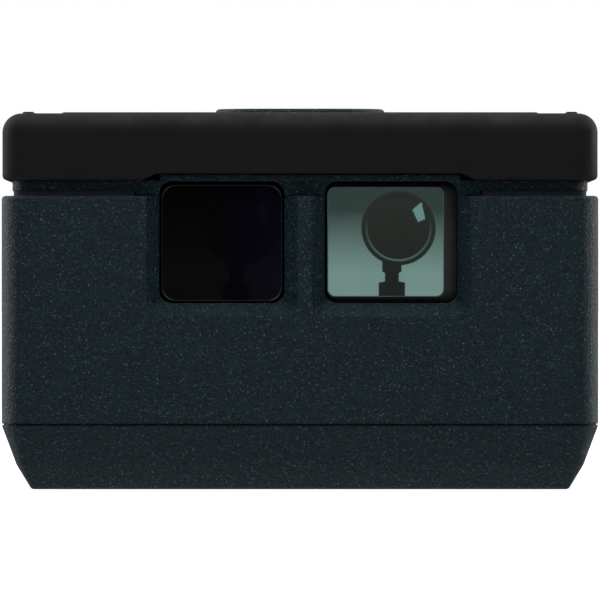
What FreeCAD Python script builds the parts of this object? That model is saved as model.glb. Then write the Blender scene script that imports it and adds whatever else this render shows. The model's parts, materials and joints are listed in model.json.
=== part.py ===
"""Compact hand-held laser distance meter, drawn as a parametric FreeCAD document.

Frame: +Z is up through the display deck, the lens end faces -Y and the tail faces +Y.
The origin is on the back face, under the middle of the case. All sizes are in millimetres.
"""
import FreeCAD, Part

import math
import os

import Sketcher

DIMENSIONS = {
    # case
    "case_width": 36.0, "case_length": 101.0, "corner_round": 2.0, "least_round": 0.4, "wall": 1.6,
    "floor": 1.6, "shell_height": 17.7, "rim_round": 0.22, "flare_height": 3.85, "bend_height": 1.5,
    "bend_inset": 0.88, "foot_inset": 1.8, "foot_round": 0.3, "foot_room": 1.62,
    "crease_tall": 0.12, "crease_deep": 0.1, "small_round": 0.1, "through": 3.0,
    "label_half": 10.0, "label_front": -26.0, "label_back": -6.0, "label_deep": 0.15, "label_round": 1.0,
    "label_gap": 0.1,
    # rim, flange, bumper and deck
    "seal_thick": 0.3, "seal_inset": 0.72, "seal_back": 1.6, "flange_top": 18.64, "flange_inset": 0.65,
    "core_inset": 1.3, "core_top": 21.8, "deck_top": 22.78, "deck_under": 21.3, "deck_back": 23.0,
    "deck_round": 0.2, "upper_wall": 1.3, "tail_step": 0.2,
    "bumper_top": 22.68, "bumper_gap": 0.04, "bumper_round": 1.15, "bumper_edge": 0.3, "bumper_lap": 2.2,
    "bead_x": 16.45, "bead_half": 0.35, "bead_front": -46.0,
    "bead_back": -38.0, "bead_tall": 0.14, "bead_edge": 0.1,
    "rib_half_long": 9.5, "rib_half": 0.75, "rib_first": 27.5, "rib_step": 3.4, "rib_height": 0.3,
    "rib_edge": 0.2, "grip_x": 18.15, "grip_half": 0.6, "grip_first": 16.0, "grip_step": 3.2,
    "grip_top": 21.38, "grip_tall": 2.2,
    # lens end
    "optic_height": 14.9, "window_low": 11.3, "window_high": 18.5, "window_round": 0.75,
    "emitter_left": -8.42, "emitter_right": -1.0, "lens_left": 1.55, "lens_right": 9.42,
    "recess_depth": 0.85, "recess_round": 1.0, "window_gap": 0.06, "window_set": 0.7, "window_thick": 1.9,
    "window_edge": 0.25, "window_curve": 70.0, "lens_bevel": 0.75, "lens_bevel_deep": 0.9,
    "tongue_low": 17.72, "tongue_back": 1.55, "visor_left": -8.42, "visor_right": 9.66, "visor_low": 18.57,
    "visor_top": 18.98, "visor_set": 0.45, "visor_back": 2.0, "arch_left": -9.54, "arch_right": 10.63,
    "arch_ramp": 0.9, "arch_top": 19.05, "arch_back": 2.1,
    # optics inside
    "chassis_front": -48.85, "chassis_back": -22.85, "chassis_low": 10.4, "chassis_high": 18.4,
    "chassis_left": -9.9, "chassis_right": 10.9, "chassis_room_top": 18.6,
    "emitter_axis": -4.7, "receiver_axis": 5.48, "bore_gap": 0.02,
    "barrel_round": 2.9, "barrel_bore": 2.0, "barrel_front": -47.2, "barrel_back": -34.0,
    "collimator_round": 2.38, "collimator_front": -46.8, "collimator_back": -45.0, "collimator_curve": 5.0,
    "diode_front": -36.3, "diode_can": 1.75, "diode_flange": 2.8, "diode_back": -32.8, "lead_end": -28.6,
    "lead_ring": 0.9, "lead_round": 0.2,
    "tube_round": 3.3, "tube_front": -47.7, "tube_back": -31.0, "tube_room": 18.5, "throat_round": 1.9,
    "filter_back": -30.2, "filter_round": 1.85, "photodiode_front": -24.4, "photodiode_middle": -23.6,
    "photodiode_back": -22.8, "photodiode_eye": 1.2, "photodiode_round": 1.8,
    "card_left": 1.0, "card_right": 10.4, "card_low": 10.7, "card_high": 18.1, "card_back": -22.0,
    "shield_left": 2.0, "shield_right": 9.4, "shield_low": 11.3, "shield_high": 17.5, "shield_back": -20.2,
    "shield_wall": 0.25, "flex_left": -6.4, "flex_right": -3.0, "flex_low": 13.3, "flex_high": 13.45,
    "flex_back": -21.5,
    "seal_rim": 0.3, "seal_deep": 0.7, "seat_deep": 0.95, "seat_round": 0.7,
    "ear_thick": 1.6, "ear_post_x": 13.6, "ear_post_y": -43.0, "ear_half": 1.9, "ear_round": 1.2,
    # screws
    "boss_x": 13.9, "boss_front": -30.0, "boss_tail": 43.6, "boss_round": 2.6, "screw_seat": 8.0,
    "head_round": 1.6, "head_tall": 1.3, "thread_round": 0.85, "screw_top": 20.5, "well_gap": 0.2,
    "post_round": 1.8, "post_pilot": 0.72, "post_pilot_deep": 5.0, "slot_half": 0.25, "slot_reach": 0.9,
    "chassis_head": 1.4, "chassis_head_tall": 1.0, "chassis_shank": 0.7, "chassis_shank_long": 5.5,
    "board_head": 1.3, "board_head_tall": 0.9, "board_shank": 0.6, "board_shank_long": 3.4,
    "board_post": 1.5, "board_pilot": 0.62, "board_pilot_deep": 2.8, "board_hole": 0.75,
    # display and keys
    "glass_half": 10.5, "glass_front": -40.9, "glass_back": -19.1, "glass_thick": 0.85, "glass_round": 1.5,
    "glass_gap": 0.08, "glass_set": 0.1, "glass_bed": 0.15,
    "view_half": 9.6, "view_front": -40.0, "view_back": -20.0, "view_round": 0.8,
    "frame_half": 10.9, "frame_front": -43.1, "frame_back": -17.5, "frame_tall": 1.7, "frame_wall": 1.0,
    "lcd_half": 9.85, "lcd_front": -42.0, "lcd_back": -18.6, "lcd_low": 0.65, "lcd_high": 1.65,
    "light_back": -20.2, "light_low": 0.05, "light_high": 0.6, "strip_half": 8.5, "strip_front": -19.8,
    "strip_back": -18.8,
    "board_half": 11.0, "display_board_low": 18.75, "display_board_high": 19.55,
    "display_board_front": -44.0, "display_board_back": 38.0,
    "key_under": 20.65, "key_flange": 0.35, "key_gap": 0.15, "key_rim": 0.7, "key_room": 3.5,
    "surround_half": 5.35, "surround_front": -12.0, "surround_back": 3.0, "surround_round": 3.2,
    "surround_top": 23.5, "surround_edge": 0.25, "button_half": 4.1, "button_round": 2.45,
    "button_top": 23.4, "button_edge": 0.3, "button_middle": -4.5, "button_reach": 6.25,
    "key_x": 6.0, "key_y": 10.5, "key_half_wide": 3.15, "key_half_long": 2.15, "key_round": 2.05,
    "key_top": 23.2, "key_edge": 0.25, "button_dome": 3.0, "key_dome": 1.9, "dome_tall": 0.3,
    "mat_half": 10.2, "mat_front": -14.0, "mat_back": 15.0, "mat_low": 0.32, "mat_high": 0.62,
    "mat_round": 1.5,
    # main board
    "main_board_low": 7.8, "main_board_high": 8.8, "main_board_front": -47.0, "main_board_back": -2.0,
    "control_left": -8.0, "control_front": -19.0, "control_side": 7.0, "control_tall": 0.9,
    "timing_left": -7.0, "timing_front": -9.5, "timing_side": 5.0, "timing_tall": 0.8,
    "crystal_left": 1.0, "crystal_right": 4.2, "crystal_front": -9.0, "crystal_back": -4.0,
    "crystal_tall": 1.1, "crystal_round": 0.5,
    "coil_left": 1.0, "coil_right": 5.5, "coil_front": -17.0, "coil_back": -12.5, "coil_tall": 2.4,
    "coil_round": 1.0, "sounder_y": -22.0, "sounder_tall": 2.2, "sounder_round": 4.6,
    "small_cap_left": -8.0, "small_cap_step": 2.2, "small_cap_wide": 1.0, "small_cap_front": -30.0,
    "small_cap_back": -28.0, "small_cap_tall": 0.9,
    "big_cap_left": -9.0, "big_cap_step": 4.4, "big_cap_wide": 3.0, "big_cap_front": -36.0,
    "big_cap_back": -32.5, "big_cap_tall": 1.6,
    "link_left": 7.4, "link_right": 10.0, "link_front": -16.0, "link_back": -6.0, "link_bar": 3.0,
    "link_socket": 2.6, "pin_x": 8.7, "pin_half": 0.25, "pin_first": -15.0, "pin_step": 2.0,
    # battery bay
    "cell_round": 5.15, "cell_x": 5.2, "cell_z": 7.3, "cell_front": 1.9, "cell_long": 44.5,
    "nub_round": 1.8, "nub_long": 0.9, "tray_half": 11.05, "tray_front": -0.7, "tray_back": 48.3,
    "tray_low": 2.0, "tray_high": 13.4, "tray_wall": 0.6, "tray_roof": 0.85,
    "leaf_thick": 0.3, "leaf_half": 3.9, "nub_leaf_half": 3.2, "leaf_gap": 0.02, "bay_round": 0.8,
    "coil_base": 3.2, "wire_round": 0.22, "coil_lean": 35.0, "coil_turns": 3.0, "coil_lift": 0.55,
    "coil_stop": 0.25,
    "door_half": 11.6, "door_front": 0.0, "door_back": 47.9, "door_gap": 0.12, "door_thick": 1.5,
    "door_face": 0.05, "door_round": 0.7, "tab_reach": 1.2, "tab_low": 0.8, "tab_x": 6.5, "tab_half": 2.0,
    "tab_play": 0.3, "tab_room": 0.6, "lip_overlap": 0.9, "lip_high": 0.72,
    "thumb_half": 4.0, "thumb_first": 38.6, "thumb_step": 1.1, "thumb_wide": 0.5, "thumb_deep": 0.3,
    "pad_half": 8.0, "pad_front": 8.0, "pad_back": 36.0, "pad_gap": 0.05, "pad_round": 1.0,
    "latch_half": 4.5, "latch_long": 2.6, "latch_travel": 0.7, "latch_play": 0.15, "nib_reach": 0.5,
    "nib_inset": 1.0, "scoop_half": 3.0, "scoop_front": 1.7, "scoop_back": 0.8, "scoop_deep": 0.5,
}

# Counts of repeated features, and how near an edge lies to a height to belong to it.
GRIP_RIBS = 6
GRIP_GROOVES = 7
DIODE_LEADS = 3
CAPACITORS = 4
LINK_PINS = 5
THUMB_GROOVES = 4
LEVEL_MATCH = 0.01

doc = FreeCAD.newDocument("LaserDistanceMeter")
sheet = doc.addObject("Spreadsheet::Sheet", "Dim")
NODES = []


def fill_sheet():
    """Write every driving dimension into the sheet with its alias."""
    for row, (alias, number) in enumerate(DIMENSIONS.items(), start=1):
        sheet.set(f"A{row}", alias)
        sheet.set(f"B{row}", str(number))
        sheet.setAlias(f"B{row}", alias)
    doc.recompute()


def value(expression):
    """Present number of an expression over the sheet."""
    return float(sheet.evalExpression(expression))


def node(thing, label):
    """Give a finished sub-part its own name and list it for export."""
    thing.Label = label
    NODES.append(thing)
    return thing


# ---- solids from primitives -------------------------------------------------------------


def slab(name, x, y, z):
    """Box between low and high expressions along each axis."""
    box = doc.addObject("Part::Box", name)
    for size, axis, (low, high) in zip(("Length", "Width", "Height"), "xyz", (x, y, z)):
        box.setExpression(size, f"({high}) - ({low})")
        box.setExpression(f".Placement.Base.{axis}", low)
    return box


def along(axis):
    """Rotation that turns a primitive's own Z onto the given row axis."""
    direction = {"x": FreeCAD.Vector(1, 0, 0), "y": FreeCAD.Vector(0, 1, 0), "z": FreeCAD.Vector(0, 0, 1)}
    return FreeCAD.Rotation(FreeCAD.Vector(0, 0, 1), direction[axis])


def place(thing, axis, centre, start):
    """Stand a round primitive on its centre, with its base at start along the axis."""
    thing.Placement = FreeCAD.Placement(FreeCAD.Vector(), along(axis))
    across = [letter for letter in "xyz" if letter != axis]
    thing.setExpression(f".Placement.Base.{across[0]}", centre[0])
    thing.setExpression(f".Placement.Base.{across[1]}", centre[1])
    thing.setExpression(f".Placement.Base.{axis}", start)


def rod(name, axis, centre, span, radius):
    """Cylinder along an axis, between the two ends of span."""
    cylinder = doc.addObject("Part::Cylinder", name)
    cylinder.setExpression("Radius", radius)
    cylinder.setExpression("Height", f"({span[1]}) - ({span[0]})")
    place(cylinder, axis, centre, span[0])
    return cylinder


def taper(name, axis, centre, span, radii):
    """Cone along an axis, with its radius at each end of span."""
    cone = doc.addObject("Part::Cone", name)
    cone.setExpression("Radius1", radii[0])
    cone.setExpression("Radius2", radii[1])
    cone.setExpression("Height", f"({span[1]}) - ({span[0]})")
    place(cone, axis, centre, span[0])
    return cone


def join(name, *pieces):
    """Boolean union; pieces that stand apart stay separate solids of one node."""
    union = doc.addObject("Part::MultiFuse", name)
    union.Shapes = list(pieces)
    union.Refine = True
    return union


def cut(name, base, *tools):
    """Base with every tool removed."""
    difference = doc.addObject("Part::Cut", name)
    difference.Base = base
    difference.Tool = tools[0] if len(tools) == 1 else join(f"{name}_tools", *tools)
    difference.Refine = True
    return difference


def rounded_slab(name, x, y, z, radius):
    """Box with its four upright edges rounded."""
    body = doc.addObject("PartDesign::Body", name)
    sketch = level_sketch(body, f"{name}_outline", z[0])
    rounded_rectangle(sketch, x[0], x[1], y[0], y[1], radius)
    pad(body, sketch, f"({z[1]}) - ({z[0]})")
    return body


# ---- sketches and features of a body ----------------------------------------------------


def plane_sketch(body, name, role, offset):
    """Sketch on an origin plane of its own body, moved along the plane's normal."""
    sketch = body.newObject("Sketcher::SketchObject", name)
    plane = next(feature for feature in body.Origin.OriginFeatures if feature.Role == role)
    sketch.AttachmentSupport = [(plane, "")]
    sketch.MapMode = "FlatFace"
    sketch.setExpression("AttachmentOffset.Base.z", offset)
    return sketch


def level_sketch(body, name, height):
    """Sketch lying at a height above the back face."""
    return plane_sketch(body, name, "XY_Plane", height)


def front_sketch(body, name, position):
    """Upright sketch that looks at the lens end; its normal is -Y."""
    return plane_sketch(body, name, "XZ_Plane", f"-({position})")


def hold(sketch, geometry, point, across, up):
    """Pin one point of a sketch to two expressions."""
    for kind, expression in (("DistanceX", across), ("DistanceY", up)):
        index = sketch.addConstraint(Sketcher.Constraint(kind, -1, 1, geometry, point, value(expression)))
        sketch.setExpression(f"Constraints[{index}]", expression)


def polygon(sketch, corners):
    """Closed outline of straight lines through bound corners."""
    first = sketch.GeometryCount
    count = len(corners)
    points = [FreeCAD.Vector(value(across), value(up), 0) for across, up in corners]
    for number in range(count):
        sketch.addGeometry(Part.LineSegment(points[number], points[(number + 1) % count]), False)
    for number in range(count):
        following = first + (number + 1) % count
        sketch.addConstraint(Sketcher.Constraint("Coincident", first + number, 2, following, 1))
    for number, (across, up) in enumerate(corners):
        hold(sketch, first + number, 1, across, up)


def rounded_rectangle(sketch, left, right, low, high, radius):
    """Closed outline of four sides and four equal corner arcs."""
    first = sketch.GeometryCount
    x_low, x_high, y_low, y_high, bend = (value(item) for item in (left, right, low, high, radius))
    corners = ((x_high, y_low), (x_high, y_high), (x_low, y_high), (x_low, y_low))
    centres = ((x_high - bend, y_low + bend), (x_high - bend, y_high - bend),
               (x_low + bend, y_high - bend), (x_low + bend, y_low + bend))
    for number in range(4):
        side = FreeCAD.Vector(*corners[number - 1], 0)
        toward = FreeCAD.Vector(*corners[number], 0) - side
        toward.normalize()
        reach = (FreeCAD.Vector(*corners[number], 0) - side).Length - bend
        sketch.addGeometry(Part.LineSegment(side + toward * bend, side + toward * reach), False)
    for number, centre in enumerate(centres):
        start = math.radians(90 * number - 90)
        circle = Part.Circle(FreeCAD.Vector(*centre, 0), FreeCAD.Vector(0, 0, 1), bend)
        sketch.addGeometry(Part.ArcOfCircle(circle, start, start + math.pi / 2), False)
    for number in range(4):
        arc = first + 4 + number
        sketch.addConstraint(Sketcher.Constraint("Tangent", first + number, 2, arc, 1))
        sketch.addConstraint(Sketcher.Constraint("Tangent", arc, 2, first + (number + 1) % 4, 1))
    for number in range(3):
        sketch.addConstraint(Sketcher.Constraint("Equal", first + 4, first + 5 + number))
    for number, direction in enumerate(("Horizontal", "Vertical", "Horizontal", "Vertical")):
        sketch.addConstraint(Sketcher.Constraint(direction, first + number))
    sides = (("DistanceY", 0, low), ("DistanceX", 1, right), ("DistanceY", 2, high), ("DistanceX", 3, left))
    for kind, number, expression in sides:
        constraint = Sketcher.Constraint(kind, -1, 1, first + number, 1, value(expression))
        index = sketch.addConstraint(constraint)
        sketch.setExpression(f"Constraints[{index}]", expression)
    index = sketch.addConstraint(Sketcher.Constraint("Radius", first + 4, bend))
    sketch.setExpression(f"Constraints[{index}]", radius)


def circle(sketch, across, up, radius):
    """Circle with its centre and radius bound."""
    centre = FreeCAD.Vector(value(across), value(up), 0)
    ring = sketch.addGeometry(Part.Circle(centre, FreeCAD.Vector(0, 0, 1), value(radius)), False)
    hold(sketch, ring, 3, across, up)
    index = sketch.addConstraint(Sketcher.Constraint("Radius", ring, value(radius)))
    sketch.setExpression(f"Constraints[{index}]", radius)


def pad(body, sketch, length, backward=False, slope=None):
    """Add material along the sketch's normal, or against it."""
    feature = body.newObject("PartDesign::Pad", f"{sketch.Name}_pad")
    feature.Profile = sketch
    feature.Reversed = backward
    feature.setExpression("Length", length)
    if slope:
        feature.setExpression("TaperAngle", slope)
    doc.recompute()
    return feature


def pocket(body, sketch, length, forward=False, slope=None):
    """Remove material against the sketch's normal, or along it."""
    feature = body.newObject("PartDesign::Pocket", f"{sketch.Name}_pocket")
    feature.Profile = sketch
    feature.Reversed = forward
    feature.setExpression("Length", length)
    if slope:
        feature.setExpression("TaperAngle", slope)
    doc.recompute()
    return feature


def fillet_level(body, height, radius):
    """Round every edge of the tip that lies wholly at one height."""
    base = body.Tip
    level = value(height)
    names = []
    for number, edge in enumerate(base.Shape.Edges, start=1):
        box = edge.BoundBox
        if abs(box.ZMin - level) < LEVEL_MATCH and abs(box.ZMax - level) < LEVEL_MATCH:
            names.append(f"Edge{number}")
    feature = body.newObject("PartDesign::Fillet", f"{body.Name}_fillet")
    feature.Base = (base, names)
    feature.setExpression("Radius", radius)
    doc.recompute()
    return feature


def case_outline(sketch, inset, tail_inset=None):
    """Rounded plan outline of the case, moved inwards by an inset."""
    tail = inset if tail_inset is None else tail_inset
    rounded_rectangle(
        sketch,
        f"{inset} - Dim.case_width/2", f"Dim.case_width/2 - ({inset})",
        f"{inset} - Dim.case_length/2", f"Dim.case_length/2 - ({tail})",
        f"max(Dim.least_round; Dim.corner_round - ({inset}))",
    )


# ---- case -------------------------------------------------------------------------------


def boss_centres():
    """Plan positions of the four case screws."""
    return [(f"{side}*Dim.boss_x", along_case)
            for along_case in ("Dim.boss_front", "Dim.boss_tail") for side in (-1, 1)]


def window_openings():
    """Left and right expressions of the two windows."""
    return [("emitter", "Dim.emitter_left", "Dim.emitter_right"), ("lens", "Dim.lens_left", "Dim.lens_right")]


def lower_shell():
    """Textured tub: wall over a fine crease, flared foot, window recesses, bosses and battery bay."""
    body = doc.addObject("PartDesign::Body", "lower_shell_body")
    wall_outline = level_sketch(body, "tub_outline", "Dim.flare_height + Dim.crease_tall")
    case_outline(wall_outline, "0")
    pad(body, wall_outline, "Dim.shell_height - Dim.flare_height - Dim.crease_tall")
    crease = level_sketch(body, "crease_outline", "Dim.flare_height")
    case_outline(crease, "Dim.crease_deep")
    pad(body, crease, "Dim.crease_tall")
    stages = (("flare", "Dim.flare_height", "Dim.bend_height", "0", "Dim.bend_inset"),
              ("foot", "Dim.bend_height", "0", "Dim.bend_inset", "Dim.foot_inset"))
    for name, top, bottom, inset_top, inset_bottom in stages:
        outline = level_sketch(body, f"{name}_outline", top)
        case_outline(outline, inset_top)
        pad(body, outline, f"{top} - {bottom}", backward=True,
            slope=f"-atan(({inset_bottom} - {inset_top}) / ({top} - {bottom}))")
    fillet_level(body, "0", "Dim.foot_round")
    fillet_level(body, "Dim.shell_height", "Dim.rim_round")
    hollow = level_sketch(body, "tub_hollow", "Dim.shell_height")
    case_outline(hollow, "Dim.wall")
    pocket(body, hollow, "Dim.shell_height - Dim.flare_height")
    foot_hollow = level_sketch(body, "foot_hollow", "Dim.flare_height")
    case_outline(foot_hollow, "Dim.wall + Dim.foot_room", "Dim.wall")
    pocket(body, foot_hollow, "Dim.flare_height - Dim.floor")
    cut_windows(body)
    add_bosses(body)
    cut_bay(body)
    label_recess = level_sketch(body, "label_recess", "Dim.label_deep")
    rounded_rectangle(label_recess, "-Dim.label_half", "Dim.label_half", "Dim.label_front",
                      "Dim.label_back", "Dim.label_round")
    pocket(body, label_recess, "Dim.label_deep")
    return node(body, "lower_shell")


def cut_windows(body):
    """Sloped recess and straight hole for each window, both open at the top of the wall."""
    for name, left, right in window_openings():
        recess = front_sketch(body, f"{name}_recess", "-Dim.case_length/2")
        rounded_rectangle(recess, f"{left} - Dim.recess_depth", f"{right} + Dim.recess_depth",
                          "Dim.window_low - Dim.recess_depth", "Dim.window_high + Dim.through",
                          "Dim.recess_round")
        pocket(body, recess, "Dim.recess_depth", slope="-45")
        hole = front_sketch(body, f"{name}_hole", "-Dim.case_length/2")
        rounded_rectangle(hole, f"{left} - Dim.window_gap", f"{right} + Dim.window_gap",
                          "Dim.window_low - Dim.window_gap", "Dim.window_high + Dim.through",
                          "Dim.window_round")
        pocket(body, hole, "Dim.wall + Dim.small_round")


def add_bosses(body):
    """Case-screw bosses with deep head wells, and the two short posts of the optics chassis."""
    bosses = level_sketch(body, "bosses", "Dim.floor")
    for across, along_case in boss_centres():
        circle(bosses, across, along_case, "Dim.boss_round")
    pad(body, bosses, "Dim.shell_height - Dim.floor")
    wells = level_sketch(body, "head_wells", "Dim.screw_seat")
    bores = level_sketch(body, "screw_bores", "Dim.shell_height")
    for across, along_case in boss_centres():
        circle(wells, across, along_case, "Dim.head_round + Dim.well_gap")
        circle(bores, across, along_case, "Dim.thread_round + Dim.well_gap/2")
    pocket(body, wells, "Dim.screw_seat")
    pocket(body, bores, "Dim.shell_height - Dim.screw_seat")
    posts = level_sketch(body, "chassis_posts", "Dim.floor")
    pilots = level_sketch(body, "chassis_pilots", "Dim.chassis_low")
    for side in (-1, 1):
        circle(posts, f"{side}*Dim.ear_post_x", "Dim.ear_post_y", "Dim.post_round")
        circle(pilots, f"{side}*Dim.ear_post_x", "Dim.ear_post_y", "Dim.post_pilot")
    pad(body, posts, "Dim.chassis_low - Dim.floor")
    pocket(body, pilots, "Dim.post_pilot_deep")


def cut_bay(body):
    """Battery opening through the floor, with thin lips under the cover's tabs and latch."""
    opening = level_sketch(body, "bay_opening", "Dim.floor")
    rounded_rectangle(opening, "-Dim.door_half", "Dim.door_half", "Dim.door_front", "Dim.door_back",
                      "Dim.bay_round")
    pocket(body, opening, "Dim.floor + Dim.small_round")
    thinned = level_sketch(body, "tab_lips", "Dim.floor")
    for side in (-1, 1):
        middle = f"{side}*Dim.tab_x"
        half = "(Dim.tab_half + Dim.tab_play)"
        rounded_rectangle(thinned, f"{middle} - {half}", f"{middle} + {half}",
                          "Dim.door_front - Dim.tab_reach - Dim.tab_room",
                          "Dim.door_front + Dim.lip_overlap", "Dim.tab_play")
    rounded_rectangle(thinned, "-Dim.latch_half - Dim.tab_play", "Dim.latch_half + Dim.tab_play",
                      "Dim.door_back - Dim.lip_overlap", "Dim.door_back + Dim.nib_reach + Dim.tab_play",
                      "Dim.tab_play")
    pocket(body, thinned, "Dim.floor - Dim.lip_high")


def upper_shell():
    """Teal deck half: flange, core under the bumper, visor over the windows and key surround."""
    body = doc.addObject("PartDesign::Body", "upper_shell_body")
    base = "Dim.shell_height + Dim.seal_thick"
    flange = level_sketch(body, "flange_outline", base)
    case_outline(flange, "Dim.flange_inset", "Dim.flange_inset + Dim.tail_step")
    pad(body, flange, f"Dim.flange_top - ({base})")
    core = level_sketch(body, "core_outline", "Dim.flange_top")
    case_outline(core, "Dim.core_inset", "Dim.core_inset + Dim.tail_step")
    pad(body, core, "Dim.core_top - Dim.flange_top")
    deck = level_sketch(body, "deck_outline", "Dim.core_top")
    case_outline(deck, "Dim.core_inset + Dim.bumper_lap + Dim.bumper_gap",
                 "Dim.case_length/2 - Dim.deck_back + Dim.bumper_gap")
    pad(body, deck, "Dim.deck_top - Dim.core_top")
    fillet_level(body, "Dim.deck_top", "Dim.deck_round")
    surround = level_sketch(body, "surround_outline", "Dim.deck_top")
    rounded_rectangle(surround, "-Dim.surround_half", "Dim.surround_half", "Dim.surround_front",
                      "Dim.surround_back", "Dim.surround_round")
    pad(body, surround, "Dim.surround_top - Dim.deck_top")
    fillet_level(body, "Dim.surround_top", "Dim.surround_edge")
    add_visor(body)
    hollow = level_sketch(body, "upper_hollow", base)
    case_outline(hollow, "Dim.core_inset + Dim.upper_wall", "Dim.core_inset + Dim.upper_wall + Dim.tail_step")
    pocket(body, hollow, f"Dim.deck_under - ({base})", forward=True)
    add_upper_bosses(body, base)
    cut_deck(body)
    return node(body, "upper_shell")


def add_visor(body):
    """Tongue down to the lower wall beside the windows, and the visor strip above them."""
    tongue = front_sketch(body, "tongue_outline", "Dim.tongue_back - Dim.case_length/2")
    rounded_rectangle(tongue, "Dim.chassis_left", "Dim.chassis_right", "Dim.tongue_low", "Dim.flange_top",
                      "Dim.small_round")
    pad(body, tongue, "Dim.tongue_back - Dim.flange_inset")
    visor = front_sketch(body, "visor_outline", "Dim.visor_back - Dim.case_length/2")
    rounded_rectangle(visor, "Dim.visor_left", "Dim.visor_right", "Dim.visor_low", "Dim.visor_top",
                      "Dim.small_round")
    pad(body, visor, "Dim.visor_back - Dim.visor_set")
    behind = "Dim.core_inset + Dim.upper_wall + Dim.small_round"
    for name, left, right in window_openings():
        notch = front_sketch(body, f"{name}_notch", "-Dim.case_length/2")
        rounded_rectangle(notch, f"{left} - Dim.window_gap", f"{right} + Dim.window_gap", "Dim.window_low",
                          "Dim.window_high + Dim.window_gap", "Dim.window_round")
        pocket(body, notch, behind)
    room = level_sketch(body, "chassis_room", "Dim.chassis_room_top")
    rounded_rectangle(room, "Dim.chassis_left - Dim.small_round", "Dim.chassis_right + Dim.small_round",
                      "Dim.chassis_front - Dim.window_gap", f"{behind} - Dim.case_length/2",
                      "Dim.small_round")
    pocket(body, room, "Dim.through")


def add_upper_bosses(body, base):
    """Bosses that take the case screws, blind from below."""
    bosses = level_sketch(body, "upper_bosses", base)
    pilots = level_sketch(body, "upper_pilots", base)
    for across, along_case in boss_centres():
        circle(bosses, across, along_case, "Dim.boss_round")
        circle(pilots, across, along_case, "Dim.thread_round + Dim.bore_gap")
    pad(body, bosses, f"Dim.deck_under - ({base})")
    pocket(body, pilots, f"Dim.screw_top + Dim.well_gap - ({base})", forward=True)


def cut_deck(body):
    """Display opening with its glass seat, and the three key openings."""
    seat = level_sketch(body, "glass_seat", "Dim.deck_top")
    rounded_rectangle(seat, "-Dim.glass_half - Dim.glass_gap", "Dim.glass_half + Dim.glass_gap",
                      "Dim.glass_front - Dim.glass_gap", "Dim.glass_back + Dim.glass_gap",
                      "Dim.glass_round + Dim.glass_gap")
    pocket(body, seat, "Dim.glass_thick + Dim.glass_bed")
    view = level_sketch(body, "view_opening", "Dim.deck_top")
    rounded_rectangle(view, "-Dim.view_half", "Dim.view_half", "Dim.view_front", "Dim.view_back",
                      "Dim.view_round")
    pocket(body, view, "Dim.through")
    keys = level_sketch(body, "key_openings", "Dim.surround_top")
    openings = [("0", "Dim.button_middle", "Dim.button_half", "Dim.button_reach", "Dim.button_round")]
    openings += [(f"{side}*Dim.key_x", "Dim.key_y", "Dim.key_half_wide", "Dim.key_half_long", "Dim.key_round")
                 for side in (-1, 1)]
    for across, along_case, half_wide, half_long, bend in openings:
        rounded_rectangle(
            keys, f"{across} - {half_wide} - Dim.key_gap", f"{across} + {half_wide} + Dim.key_gap",
            f"{along_case} - {half_long} - Dim.key_gap", f"{along_case} + {half_long} + Dim.key_gap",
            f"{bend} + Dim.key_gap")
    pocket(body, keys, "Dim.key_room")


def soft_bumper():
    """Soft black band round the upper half, lapped over the deck's edge."""
    body = doc.addObject("PartDesign::Body", "soft_bumper_body")
    outline = level_sketch(body, "bumper_outline", "Dim.flange_top")
    case_outline(outline, "Dim.bumper_gap", "Dim.tail_step")
    pad(body, outline, "Dim.bumper_top - Dim.flange_top")
    fillet_level(body, "Dim.bumper_top", "Dim.bumper_round")
    fillet_level(body, "Dim.flange_top", "Dim.bumper_edge")
    core = level_sketch(body, "bumper_core", "Dim.flange_top")
    case_outline(core, "Dim.core_inset", "Dim.core_inset + Dim.tail_step")
    pocket(body, core, "Dim.core_top - Dim.flange_top", forward=True)
    deck = level_sketch(body, "bumper_deck", "Dim.core_top - Dim.small_round")
    case_outline(deck, "Dim.core_inset + Dim.bumper_lap", "Dim.case_length/2 - Dim.deck_back")
    pocket(body, deck, "Dim.through", forward=True)
    add_grip(body)
    arch = front_sketch(body, "visor_arch", "-Dim.case_length/2")
    polygon(arch, [("Dim.arch_left", "Dim.flange_top - 1"), ("Dim.arch_right", "Dim.flange_top - 1"),
                   ("Dim.arch_right", "Dim.flange_top"), ("Dim.arch_right - Dim.arch_ramp", "Dim.arch_top"),
                   ("Dim.arch_left + Dim.arch_ramp", "Dim.arch_top"), ("Dim.arch_left", "Dim.flange_top")])
    pocket(body, arch, "Dim.arch_back")
    return node(body, "soft_bumper")


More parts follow.
